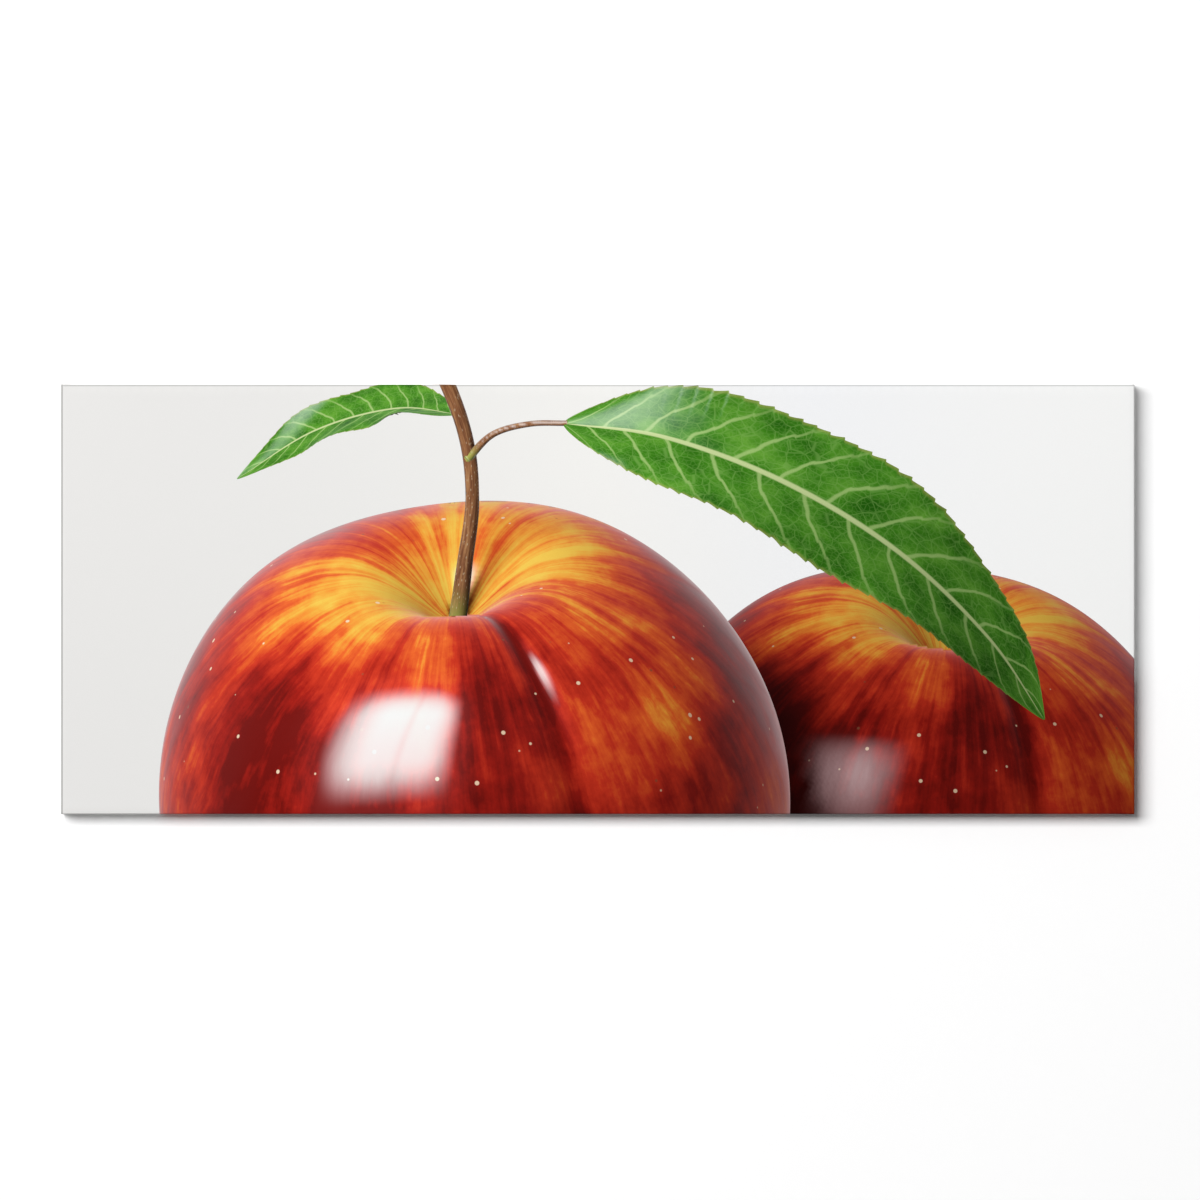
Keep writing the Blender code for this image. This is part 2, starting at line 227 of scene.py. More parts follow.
def dress(node_name, finish):
    """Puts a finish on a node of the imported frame, in place of its plain one."""
    for material_slot in nodes[node_name].material_slots:
        material_slot.material = finish


# %% [markdown]
# ## The wall, the floor and the light
# In the photograph the wall is pure white, and the only thing that shows the print's depth is its
# shadow, which runs about 23 mm to the right and 16 mm down and fades evenly. One large rectangular
# light far off to the upper left gives such a shadow: each edge of the light draws one limit of
# the fade. About a fifth of the light comes from all round, which keeps the shadow pale where it
# starts. The wall is one-sided, so that views from behind look through it at the frame's back, and
# mirror rays pass it, so that the metal behind reflects the pale room.

# %% Wall and floor
WALL_REACH = 6.0
FLOOR_REACH = 6.0
FLOOR_FADES_FROM = 1.0
FLOOR_DROP = 1.40
FLOOR_COLOUR = (0.80, 0.80, 0.79)
FLOOR_BOUNCE = (0.16, 0.16, 0.16)
BASE_HEIGHT = -0.25 - FLOOR_DROP


def flat_quad(name, corners, finish):
    mesh = bpy.data.meshes.new(name)
    mesh.from_pydata(corners, [], [(0, 1, 2, 3)])
    mesh.materials.append(finish)
    placed(name, mesh)


wall_paint = bpy.data.materials.new("one_sided_wall_paint")
wall_paint.use_nodes = True
tree = wall_paint.node_tree
tree.nodes.remove(tree.nodes["Principled BSDF"])
paint = put(tree, "BsdfDiffuse", {"Color": (0.97, 0.97, 0.97, 1.0)})
clear = put(tree, "BsdfTransparent")
behind = put(tree, "NewGeometry").outputs["Backfacing"]
path = put(tree, "LightPath").outputs
passing = calc(tree, "MAXIMUM", path["Is Shadow Ray"], path["Is Glossy Ray"])
see_through = calc(tree, "MAXIMUM", behind, passing)
wall_mix = put(tree, "MixShader", {0: see_through, 1: paint.outputs[0], 2: clear.outputs[0]})
tree.links.new(wall_mix.outputs[0], tree.nodes["Material Output"].inputs["Surface"])

wall_y = cad_box[1].y
wall_corners = [
    (-WALL_REACH, wall_y, BASE_HEIGHT),
    (WALL_REACH, wall_y, BASE_HEIGHT),
    (WALL_REACH, wall_y, WALL_REACH),
    (-WALL_REACH, wall_y, WALL_REACH),
]
flat_quad("wall", wall_corners, wall_paint)

floor_paint, tree, shader = new_finish("pale_floor", roughness=0.8, specular=0.0)
seen_directly = put(tree, "LightPath").outputs["Is Camera Ray"]
coloured(tree, shader, mixed(tree, seen_directly, FLOOR_BOUNCE, FLOOR_COLOUR))
level_place = vector(tree, "MULTIPLY", object_place(tree), (1.0, 1.0, 0.0))
away = put(tree, "VectorMath", {0: level_place}, operation="LENGTH").outputs["Value"]
tree.links.new(smooth(tree, away, FLOOR_FADES_FROM, FLOOR_REACH, 1.0, 0.0), shader.inputs["Alpha"])
floor_corners = [
    (-FLOOR_REACH, -FLOOR_REACH, BASE_HEIGHT),
    (FLOOR_REACH, -FLOOR_REACH, BASE_HEIGHT),
    (FLOOR_REACH, FLOOR_REACH, BASE_HEIGHT),
    (-FLOOR_REACH, FLOOR_REACH, BASE_HEIGHT),
]
flat_quad("floor", floor_corners, floor_paint)
print(f"the wall stands at y = {wall_y * 1000:.2f} mm, facing the camera")

# %% Light
LIGHT_DISTANCE = 16.0
LIGHT_LEFT, LIGHT_RIGHT = -18.0, -2.0
LIGHT_LOW, LIGHT_TOP = 1.9, 11.3
LIGHT_WATTS = 5380.0
BACK_WATTS = 125.0
BACK_PLACE, BACK_FACES = (-0.8, 5.0, 1.3), (0.15, -1.0, -0.25)
BACK_WIDTH, BACK_HEIGHT = 4.0, 2.4
AMBIENT = 0.20
BACKDROP = 0.85


def panel_light(name, centre, size_x, size_z, watts, faces=(0, 1, 0)):
    data = bpy.data.lights.new(name, "AREA")
    data.shape = "RECTANGLE"
    data.size, data.size_y = size_x, size_z
    data.energy = watts
    lamp = placed(name, data)
    lamp.location = centre
    lamp.rotation_euler = Vector(faces).to_track_quat("-Z", "Y").to_euler()
    lamp.visible_camera = False


key_centre = ((LIGHT_LEFT + LIGHT_RIGHT) / 2, -LIGHT_DISTANCE, (LIGHT_LOW + LIGHT_TOP) / 2)
panel_light("key", key_centre, LIGHT_RIGHT - LIGHT_LEFT, LIGHT_TOP - LIGHT_LOW, LIGHT_WATTS)
panel_light("back_fill", BACK_PLACE, BACK_WIDTH, BACK_HEIGHT, BACK_WATTS, faces=BACK_FACES)

world = bpy.data.worlds.new("studio")
bpy.context.scene.world = world
world.use_nodes = True
tree = world.node_tree
sky = tree.nodes["Background"]
sky.inputs["Color"].default_value = (1.0, 1.0, 1.0, 1.0)
path = put(tree, "LightPath").outputs
seen_directly = calc(tree, "MAXIMUM", path["Is Camera Ray"], path["Is Glossy Ray"])
strength = calc(tree, "MULTIPLY_ADD", seen_directly, BACKDROP - AMBIENT, AMBIENT)
tree.links.new(strength, sky.inputs["Strength"])

# %% [markdown]
# ## The picture: a still life that is only paint
# The print shows ripe red fruit with a green leaf on a pale ground. A picture file could be
# wrapped on the cloth, but then every colour would be fixed in it. Here a small still life is
# worked out from formulas instead, looked at through each point of the cloth, and painted there.
# Each thing in it is a surface given as a grid of points; the cloth only remembers what it sees.

# %% Surfaces of the still life


def two_triangles(a, b, c, d):
    """Splits every four-cornered patch in two."""
    return np.concatenate([np.stack([a, b, c], -1).reshape(-1, 3), np.stack([a, c, d], -1).reshape(-1, 3)])


class Shape:
    """One thing in the still life: its points, its triangles, and a place on its skin per point."""

    def __init__(self, name, grid, place, closed_across=False):
        rows, columns = grid.shape[:2]
        self.name, self.rows, self.columns, self.closed = name, rows, columns, closed_across
        self.points = grid.reshape(-1, 3)
        self.place = place.reshape(-1, 3)
        across = columns if closed_across else columns - 1
        row, column = np.meshgrid(np.arange(rows - 1), np.arange(across), indexing="ij")
        after = (column + 1) % columns
        a, b = row * columns + column, row * columns + after
        c, d = (row + 1) * columns + after, (row + 1) * columns + column
        if closed_across:
            b, d = d, b
        self.triangles = two_triangles(a, b, c, d)
        p = self.points[self.triangles]
        flat = np.cross(p[:, 1] - p[:, 0], p[:, 2] - p[:, 0])
        self.normals = np.zeros_like(self.points)
        for corner in range(3):
            np.add.at(self.normals, self.triangles[:, corner], flat)
        self.normals /= np.linalg.norm(self.normals, axis=1, keepdims=True) + 1e-12
        self.tree = BVHTree.FromPolygons(self.points.tolist(), self.triangles.tolist())
        self.low, self.high = self.points.min(0), self.points.max(0)

    def seen_at(self, x, z):
        """What is in front at a point of the picture: (depth, point, triangle), or None."""
        if not (self.low[0] <= x <= self.high[0] and self.low[2] <= z <= self.high[2]):
            return None
        point, _, triangle, depth = self.tree.ray_cast(Vector((x, -5.0, z)), Vector((0, 1, 0)))
        return None if point is None else (depth, point, triangle)

    def skin(self, points, triangles):
        """Smooth normals and skin places at points that lie on the given triangles."""
        ids = self.triangles[triangles]
        a, b, c = (self.points[ids[:, k]] for k in range(3))
        whole = np.cross(b - a, c - a)
        area = (whole * whole).sum(1) + 1e-20
        wa = (np.cross(b - points, c - points) * whole).sum(1) / area
        wb = (np.cross(c - points, a - points) * whole).sum(1) / area
        weights = np.stack([wa, wb, 1 - wa - wb], -1)[:, :, None]
        normal = (self.normals[ids] * weights).sum(1)
        normal /= np.linalg.norm(normal, axis=1, keepdims=True) + 1e-12
        return normal, (self.place[ids] * weights).sum(1)


def turned(tip_forward, lean, twist):
    """A turn that tips a fruit's top towards the viewer, leans it sideways and twists it."""
    turn = Matrix.Rotation(math.radians(lean), 3, "Y") @ Matrix.Rotation(math.radians(tip_forward), 3, "X")
    return np.array(turn @ Matrix.Rotation(math.radians(twist), 3, "Z"))


def fruit(name, centre, radius, tip_forward, lean, twist, rows=190, columns=300):
    """A stone fruit: nearly a ball, with a hollow round its stem and a crease down one side."""
    down = np.linspace(0.012, math.pi - 0.02, rows)[:, None]
    round_it = np.linspace(0, 2 * math.pi, columns, endpoint=False)[None, :]
    hollow = 0.25 * np.exp(-((down / 0.24) ** 2)) + 0.07 * np.exp(-((down / 0.60) ** 2))
    away = np.abs((round_it + math.pi) % (2 * math.pi) - math.pi)
    crease = 0.030 * np.exp(-((away / 0.075) ** 2)) + 0.055 * np.exp(-((away / 0.30) ** 2))
    crease = crease * np.sin(down) ** 0.7
    cheeks = 0.020 * np.cos(2 * round_it) * np.sin(down) + 0.02 * np.sin(round_it) * np.sin(down) ** 2
    shoulder = 0.015 * np.cos(3 * round_it + 0.6) * np.exp(-(((down - 0.6) / 0.45) ** 2))
    reach = radius * (1 - hollow - crease + cheeks + shoulder)
    local = np.stack(
        [
            np.sin(down) * np.cos(round_it) + 0 * reach,
            np.sin(down) * np.sin(round_it) + 0 * reach,
            np.cos(down) * 0.95 + 0 * reach,
        ],
        -1,
    )
    grid = (local * reach[:, :, None]) @ turned(tip_forward, lean, twist).T + np.array(centre)
    return Shape(name, grid, local, closed_across=True)


def swept_path(points, count):
    """A smooth curve through a few points, as count points along it."""
    points = np.array(points, float)
    padded = np.vstack([2 * points[0] - points[1], points, 2 * points[-1] - points[-2]])
    places = np.linspace(0, len(points) - 1, count)
    piece = np.minimum(places.astype(int), len(points) - 2)
    t = (places - piece)[:, None]
    p0, p1, p2, p3 = (padded[piece + k] for k in range(4))
    return 0.5 * (
        2 * p1 + (p2 - p0) * t + (2 * p0 - 5 * p1 + 4 * p2 - p3) * t**2 + (3 * p1 - p0 - 3 * p2 + p3) * t**3
    )


def twig(name, points, radii, rows=90, columns=20):
    """A round twig along a curve, with its radius given at each of the curve's points."""
    spine = swept_path(points, rows)
    radius = np.interp(np.linspace(0, 1, rows), np.linspace(0, 1, len(radii)), radii)
    ahead = np.gradient(spine, axis=0)
    ahead /= np.linalg.norm(ahead, axis=1, keepdims=True)
    side = np.cross(ahead, [0.0, 1.0, 0.0])
    side /= np.linalg.norm(side, axis=1, keepdims=True) + 1e-9
    out = np.cross(side, ahead)
    angle = np.linspace(0, 2 * math.pi, columns, endpoint=False)
    ring = side[:, None] * np.cos(angle)[None, :, None] + out[:, None] * np.sin(angle)[None, :, None]
    grid = spine[:, None] + ring * radius[:, None, None]
    along = np.linspace(0, 1, rows)[:, None]
    place = np.stack([along + 0 * angle, np.cos(angle) + 0 * along, np.sin(angle) + 0 * along], -1)
    made = Shape(name, grid, place, closed_across=True)
    made.spine, made.radius, made.side = spine, radius, side
    return made


def leaf_width(along):
    """A lance-shaped leaf's half width along its length, as a share of its widest."""
    return np.sin(math.pi * np.clip(along, 0, 1) ** 0.82) ** 0.9


def leaf(name, points, half_width, facing, fold, wave, teeth=45, rows=541, columns=41):
    """A leaf along a curved spine, folded a little along its middle rib, with small teeth."""
    spine = swept_path(points, rows)
    along = np.linspace(0, 1, rows)
    ahead = np.gradient(spine, axis=0)
    ahead /= np.linalg.norm(ahead, axis=1, keepdims=True)
    facing = np.array([np.interp(along, np.linspace(0, 1, len(facing)), f) for f in zip(*facing)]).T
    side = np.cross(ahead, facing)
    side /= np.linalg.norm(side, axis=1, keepdims=True) + 1e-9
    up = np.cross(side, ahead)
    saw = (along * teeth) % 1.0
    uneven = 0.75 + 0.45 * np.sin(np.floor(along * teeth) * 2.4)
    tooth = 1 + 0.055 * (saw**1.4 - 0.4) * uneven * np.clip(np.sin(math.pi * along) * 3, 0, 1)
    width = half_width * (leaf_width(along) * tooth + 0.012)
    across = np.linspace(-1, 1, columns)
    lift = np.abs(across)[None, :] * fold + wave * np.sin(across * 2 + along[:, None] * 17) * across**2
    flat = across[None, :, None] * side[:, None] * np.cos(fold)
    grid = spine[:, None] + width[:, None, None] * (flat + lift[:, :, None] * up[:, None])
    place = np.stack([along[:, None] + 0 * across, across + 0 * along[:, None], 0 * grid[:, :, 0]], -1)
    made = Shape(name, grid, place)
    made.grid = grid
    return made


front_fruit = fruit("front_fruit", (-0.15, 0.0, -0.235), 0.372, tip_forward=30, lean=-4, twist=-66)
rear_fruit = fruit("rear_fruit", (0.37, 0.33, -0.27), 0.335, tip_forward=24, lean=9, twist=-60)
main_twig = twig(
    "twig",
    [
        (-0.166, -0.11, -0.045),
        (-0.155, -0.13, 0.040),
        (-0.146, -0.15, 0.120),
        (-0.158, -0.17, 0.205),
        (-0.205, -0.19, 0.320),
    ],
    [0.0110, 0.0092, 0.0080, 0.0084, 0.0098],
)
leaf_stalk = twig(
    "leaf_stalk",
    [(-0.152, -0.165, 0.163), (-0.122, -0.180, 0.192), (-0.080, -0.19, 0.204), (-0.035, -0.20, 0.205)],
    [0.0050, 0.0038, 0.0034, 0.0032],
    rows=60,
    columns=16,
)
broad_leaf = leaf(
    "broad_leaf",
    [
        (-0.040, -0.20, 0.205),
        (0.080, -0.24, 0.188),
        (0.220, -0.27, 0.135),
        (0.350, -0.27, 0.055),
        (0.455, -0.24, -0.045),
        (0.520, -0.21, -0.140),
    ],
    0.083,
    facing=[(0.15, -1.0, 0.45), (0.25, -1.0, 0.5), (0.4, -1.0, 0.35), (0.3, -1.0, 0.1)],
    fold=0.16,
    wave=0.10,
)
far_leaf = leaf(
    "far_leaf",
    [(-0.16, -0.02, 0.215), (-0.235, 0.05, 0.222), (-0.330, 0.10, 0.196), (-0.420, 0.13, 0.140)],
    0.040,
    facing=[(0.1, -0.7, 1.0), (-0.1, -0.8, 0.9), (-0.3, -1.0, 0.6)],
    fold=0.25,
    wave=0.10,
    teeth=30,
    rows=361,
)
still_life = [front_fruit, rear_fruit, main_twig, leaf_stalk, broad_leaf, far_leaf]
print("still life:", {shape.name: len(shape.triangles) for shape in still_life})

# %% [markdown]
# ### The painted light
# A picture of fruit looks real when its light hangs together: one window, its soft shadows, its
# reflection on every glossy skin, and the pale room in the rest. Shadows are worked out on a
# coarse grid of each surface, because a big window makes none that are sharp, and the window's
# reflection is worked out for every point, because that one is.

# %% The window and the room
WINDOW_CENTRE = np.array((-1.35, -1.75, 1.05))
WINDOW_ACROSS = np.array((0.66, -0.46, 0.0))
WINDOW_UP = np.array((0.12, 0.20, 0.74))
SKY_RAYS = 56
WINDOW_ROWS = 5
VIEW = np.array((0.0, -1.0, 0.0))
OFF_THE_SKIN = 0.003
ROOM_REACH, WINDOW_REACH = 1.2, 2.0

everything = BVHTree.FromPolygons(
    np.concatenate([shape.points for shape in still_life]).tolist(),
    np.concatenate(
        [
            shape.triangles + sum(len(s.points) for s in still_life[:k])
            for k, shape in enumerate(still_life)
        ]
    ).tolist(),
)


def unit(vectors):
    return vectors / (np.linalg.norm(vectors, axis=-1, keepdims=True) + 1e-12)


def spread_directions(count):
    """Directions spread evenly over a ball."""
    k = np.arange(count) + 0.5
    z = 1 - 2 * k / count
    turn = k * math.pi * (3 - math.sqrt(5))
    flat = np.sqrt(1 - z**2)
    return np.stack([flat * np.cos(turn), flat * np.sin(turn), z], -1)


window_share = (np.arange(WINDOW_ROWS) + 0.5) / WINDOW_ROWS * 2 - 1
window_points = np.array(
    [WINDOW_CENTRE + a * WINDOW_ACROSS + b * WINDOW_UP for a in window_share for b in window_share]
)
sky_directions = spread_directions(SKY_RAYS * 2)


def openness(point, normal):
    """How much of the room and of the window a point of the still life sees."""
    start = Vector(point + normal * OFF_THE_SKIN)
    facing = sky_directions @ normal
    weight, seen = 0.0, 0.0
    for direction, cosine in zip(sky_directions[facing > 0.05], facing[facing > 0.05]):
        weight += cosine
        if everything.ray_cast(start, Vector(direction), ROOM_REACH)[0] is None:
            seen += cosine
    clear_rays = 0
    for target in window_points:
        toward = Vector(target) - start
        if everything.ray_cast(start, toward.normalized(), WINDOW_REACH)[0] is None:
            clear_rays += 1
    return seen / max(weight, 1e-6), clear_rays / len(window_points)


def light_the_skin(shape, row_step, column_step):
    """Works out the openness on a coarse grid of a surface and spreads it over the fine one."""
    rows, columns, closed = shape.rows, shape.columns, shape.closed
    grid = shape.points.reshape(rows, columns, 3)
    normals = shape.normals.reshape(rows, columns, 3)
    some_rows = np.unique(np.append(np.arange(0, rows, row_step), rows - 1))
    some_columns = np.unique(np.append(np.arange(0, columns, column_step), columns - 1))
    coarse = np.ones((len(some_rows), len(some_columns), 2))
    for i, row in enumerate(some_rows):
        for j, column in enumerate(some_columns):
            normal = normals[row, column]
            if closed and normal[1] > 0.25:
                continue
            normal = normal if closed or normal[1] < 0 else -normal
            coarse[i, j] = openness(grid[row, column], normal)
    fine = np.zeros((rows, columns, 2))
    for kind in range(2):
        wide = np.array([np.interp(np.arange(columns), some_columns, line) for line in coarse[:, :, kind]])
        fine[:, :, kind] = np.array(
            [np.interp(np.arange(rows), some_rows, line) for line in wide.T]
        ).T
    shape.open = fine.reshape(-1, 2)


def soft_step(value, low, high):
    t = np.clip((value - low) / (high - low), 0, 1)
    return t * t * (3 - 2 * t)


def window_image(points, mirrored, blur):
    """How brightly the window shows in a skin at each point, and the wider haze round it."""
    face = unit(np.cross(WINDOW_ACROSS, WINDOW_UP))
    toward = mirrored @ face
    far = ((WINDOW_CENTRE - points) @ face) / np.where(np.abs(toward) < 1e-6, 1e-6, toward)
    hit = points + mirrored * far[:, None] - WINDOW_CENTRE
    a = hit @ WINDOW_ACROSS / (WINDOW_ACROSS @ WINDOW_ACROSS)
    b = hit @ WINDOW_UP / (WINDOW_UP @ WINDOW_UP)
    pane = soft_step(-np.abs(a), -1 - blur, -1 + blur) * soft_step(-np.abs(b), -1 - blur, -1 + blur)
    bars = 1 - 0.10 / (blur + 0.1) * np.exp(-((a / 0.08) ** 2))
    haze = np.exp(-(np.maximum(np.abs(a) - 0.8, 0) ** 2 + np.maximum(np.abs(b) - 0.8, 0) ** 2) / 0.9)
    brighter_on_top = 0.86 + 0.16 * np.clip(b - 0.3 * a, -1, 1)
    return np.where(far > 0, pane * bars * brighter_on_top, 0.0), np.where(far > 0, haze, 0.0)


def painted_light(points, normals, opened, gloss, blur):
    """The diffuse light and the shine that the painter gives each point."""
    normals = np.where((normals @ VIEW)[:, None] < 0, -normals, normals)
    room, window = opened[:, 0], opened[:, 1]
    toward = window_points[::3][None] - points[:, None]
    far = np.linalg.norm(toward, axis=2)
    cosine = np.clip((toward * normals[:, None]).sum(2) / far, 0, None)
    key = (cosine * (2.2 / far) ** 2).mean(1) * window
    from_above = 0.5 + 0.5 * normals[:, 2]
    facing = np.clip(normals @ VIEW, 0, 1)
    mirrored = 2 * facing[:, None] * normals - VIEW
    image, haze = window_image(points, mirrored, blur)
    diffuse = 1.50 * key + room * (0.20 + 0.20 * from_above) + 0.80 * gloss * haze * window
    fresnel = 0.004 + 0.80 * (1 - facing) ** 5
    room_image = 0.55 + 0.35 * soft_step(mirrored[:, 2], -0.2, 0.7)
    room_image -= 0.25 * soft_step(-mirrored[:, 2], 0.1, 0.6)
    in_the_skin = (1.32 * image + 0.02 * haze) * window + fresnel * room_image * room
    return diffuse, gloss * in_the_skin


for shape, steps in zip(still_life, ((3, 3), (4, 4), (3, 2), (3, 2), (12, 4), (12, 4))):
    light_the_skin(shape, *steps)
print("the still life is lit")

# %% [markdown]
# ## The printed cloth
# On the real print one flat piece of cloth is printed, with a margin that goes round the sides,
# and then it is folded over the bars. The mesh is made the same way: triangles are laid out on the
# flat cloth, with an edge along every outline in the picture, so that the outlines stay crisp at
# any distance. Then a rule folds each point of the flat cloth to its place on the frame.

# %% The fold rule
CLOTH_THICKNESS = 0.0006
BEND_RADIUS = 0.0016
FLAP_WIDTH = 0.025
PRINTED_FLAP = 0.008
BEND_STEPS = 4
ON_THE_CUT = 2e-7

cloth_depth = cloth_high.y - cloth_low.y
half_front = np.array((print_width / 2 - BEND_RADIUS, print_height / 2 - BEND_RADIUS))


def fold_path(thickness):
    """The cloth's side as (length along the cloth, distance in from the outer face, depth)."""
    bend = BEND_RADIUS - thickness
    turns = np.linspace(0, math.pi / 2, BEND_STEPS + 1)
    front = [(BEND_RADIUS - bend * math.sin(t), BEND_RADIUS - bend * math.cos(t)) for t in turns]
    back_depth = cloth_depth - BEND_RADIUS
    middle = [(thickness, d) for d in np.linspace(BEND_RADIUS, back_depth, 4)[1:-1]]
    back = [(BEND_RADIUS - bend * math.cos(t), back_depth + bend * math.sin(t)) for t in turns]
    flap = [(inset, cloth_depth - thickness) for inset in (PRINTED_FLAP, 0.016, FLAP_WIDTH)]
    places = np.array(front + middle + back + flap)
    return places[:, 0], places[:, 1]


outer_inset, outer_depth = fold_path(0.0)
inner_inset, inner_depth = fold_path(CLOTH_THICKNESS)
steps = np.hypot(np.diff(outer_inset), np.diff(outer_depth))
fold_length = np.concatenate([[0.0], np.cumsum(steps)])
print_limit = fold_length[-3]
margin = fold_length[-1]


def past_the_front(flat):
    """How far each flat point lies past the front, across and up."""
    return np.maximum(np.abs(flat) - half_front, 0)


def side_limit(past):
    """How far the cloth's side reaches along the edge, at each distance past the front."""
    return BEND_RADIUS - np.interp(past, fold_length, outer_inset)


def folded(flat, inside=False):
    """Folds flat points (across, up) to their places on the frame."""
    inset_at, depth_at = (inner_inset, inner_depth) if inside else (outer_inset, outer_depth)
    past = past_the_front(flat)
    reach = past.max(1)
    inset = np.interp(reach, fold_length, inset_at)
    outer = np.interp(reach, fold_length, outer_inset)
    placed = np.empty((len(flat), 3))
    for axis, out, half in ((0, 0, print_width / 2), (1, 2, print_height / 2)):
        along = flat[:, axis]
        folds = (past[:, axis] > 0) & (past[:, axis] == reach)
        drawn_in = (half - inset) / (half - outer)
        placed[:, out] = np.where(folds, np.sign(along) * (half - inset), along * drawn_in)
    placed[:, 1] = cloth_low.y + np.interp(reach, fold_length, depth_at)
    return placed


def on_the_cloth(flat):
    """True for flat points on the cut cloth, without the squares that the corners lose."""
    past = past_the_front(flat)
    spare = half_front + side_limit(past[:, ::-1]) - np.abs(flat)
    on_a_side = ((past > 0) & (past <= margin) & (spare[:, ::-1] > ON_THE_CUT)).any(1)
    return (past.max(1) == 0) | on_a_side


# %% Outlines in the picture


def round_outline(shape, count):
    """The outline of a round thing as seen from the front, found from its middle outwards."""
    middle = (shape.low + shape.high) / 2
    reach = np.linalg.norm(shape.high - shape.low) / 2
    outline = []
    for k in range(count):
        angle = 2 * math.pi * k / count
        near, far = 0.0, reach
        for _ in range(22):
            half = (near + far) / 2
            x, z = middle[0] + half * math.cos(angle), middle[2] + half * math.sin(angle)
            near, far = (half, far) if shape.seen_at(x, z) else (near, half)
        outline.append((middle[0] + near * math.cos(angle), middle[2] + near * math.sin(angle)))
    return np.array(outline)


def twig_outline(shape):
    left = shape.spine[:, ::2] + shape.side[:, ::2] * shape.radius[:, None]
    right = shape.spine[:, ::2] - shape.side[:, ::2] * shape.radius[:, None]
    return np.vstack([left, right[::-1]])


def leaf_outline(shape):
    return np.vstack([shape.grid[:, 0, ::2], shape.grid[::-1, -1, ::2]])


def closed_line(points):
    """A closed line as its points and the pairs that join them."""
    ids = np.arange(len(points))
    return points, np.stack([ids, (ids + 1) % len(points)], -1)


def open_line(points):
    ids = np.arange(len(points) - 1)
    return points, np.stack([ids, ids + 1], -1)


def straight(start, end, spacing):
    count = max(1, round(math.dist(start, end) / spacing))
    return open_line(np.linspace(start, end, count + 1))


def near_the_print(line):
    """The part of a line that lies on the printed cloth, or ends just past it."""
    points, edges = line
    printed = past_the_front(points).max(1) <= print_limit
    return points, edges[printed[edges].any(1)]


outlines = [
    closed_line(round_outline(front_fruit, 560)),
    closed_line(round_outline(rear_fruit, 480)),
    closed_line(twig_outline(main_twig)),
    closed_line(twig_outline(leaf_stalk)),
    closed_line(leaf_outline(broad_leaf)),
    open_line(broad_leaf.grid[:, 20, ::2]),
    closed_line(leaf_outline(far_leaf)),
    open_line(far_leaf.grid[:, 20, ::2]),
]
outlines = [near_the_print(line) for line in outlines]
print("outlines:", [len(edges) for _, edges in outlines])

# %% [markdown]
# ### Triangles on the flat cloth
# Blender's triangulator takes points and the edges that must be kept. Points are dense where the
# picture has something to say and sparse on the plain ground, which keeps the mesh light. The
# folds get edges too, so that the cloth bends exactly on them.

# %% Triangles on the flat cloth
FINE_SPACING = 0.0025
GROUND_EVERY = 5
FOLD_SPACING = 0.005
ROW_SHARE = 0.866
THINGS_PAST_THE_FRONT = 0.012


def rim_sides():
    """The cut edge of the cloth as four rows of flat points, one for each side."""
    across, up = half_front + margin
    end = half_front + BEND_RADIUS - outer_inset[-1]
    return [
        straight((-end[0], -up), (end[0], -up), FOLD_SPACING)[0],
        straight((across, -end[1]), (across, end[1]), FOLD_SPACING)[0],
        straight((end[0], up), (-end[0], up), FOLD_SPACING)[0],
        straight((-across, end[1]), (-across, -end[1]), FOLD_SPACING)[0],
    ]


def fold_lines(spacing):
    """The bend lines along the four sides and the cut ends of the sides at each corner."""
    lines = []
    for past, inset in zip(fold_length[:-1], outer_inset):
        across, up = half_front + past
        end = half_front + BEND_RADIUS - inset
        for sign in (-1, 1):
            lines.append(straight((-end[0], sign * up), (end[0], sign * up), spacing))
            lines.append(straight((sign * across, -end[1]), (sign * across, end[1]), spacing))
    ends = BEND_RADIUS - outer_inset
    for sx in (-1, 1):
        for sy in (-1, 1):
            upward = np.stack([sx * (half_front[0] + ends), sy * (half_front[1] + fold_length)], -1)
            sideways = np.stack([sx * (half_front[0] + fold_length), sy * (half_front[1] + ends)], -1)
            lines += [open_line(upward), open_line(sideways)]
    return lines + [open_line(side) for side in rim_sides()]


def thing_at(x, z):
    """Which thing of the still life is in front at a point of the picture, or -1 for the ground."""
    best, found = 1e9, -1
    for k, shape in enumerate(still_life):
        hit = shape.seen_at(x, z)
        if hit and hit[0] < best:
            best, found = hit[0], k
    return found


def fine_points():
    """A grid of points in rows: all of them on the things, and one in many on the ground."""
    reach = half_front + margin
    row_spacing = FINE_SPACING * ROW_SHARE
    rows = int(2 * reach[1] / row_spacing)
    columns = int(2 * reach[0] / FINE_SPACING)
    kept = []
    for row in range(rows):
        z = -reach[1] + (row + 0.5) * row_spacing
        for column in range(columns):
            x = -reach[0] + (column + (0.5 if row % 2 else 0.0)) * FINE_SPACING
            sparse = row % GROUND_EVERY == 0 and column % GROUND_EVERY == 0
            past = max(abs(x) - half_front[0], abs(z) - half_front[1])
            if past > print_limit:
                continue
            if sparse or (past < THINGS_PAST_THE_FRONT and thing_at(x, z) >= 0):
                kept.append((x, z))
    return np.array(kept)


def triangulated(loose, lines):
    """Triangles on the flat cloth from loose points and lines that must be kept."""
    points, edges, count = [loose], [], len(loose)
    for line_points, line_edges in lines:
        points.append(line_points)
        edges.append(line_edges + count)
        count += len(line_points)
    points = np.vstack(points)
    result = delaunay_2d_cdt(
        [Vector(p) for p in points.tolist()], np.vstack(edges).tolist(), [], 0, 1e-6
    )
    flat = np.array([p[:] for p in result[0]])
    triangles = np.array([face for face in result[2] if len(face) == 3])
    used, ids = np.unique(triangles[on_the_cloth(flat[triangles].mean(1))], return_inverse=True)
    return flat[used], ids.reshape(-1, 3)


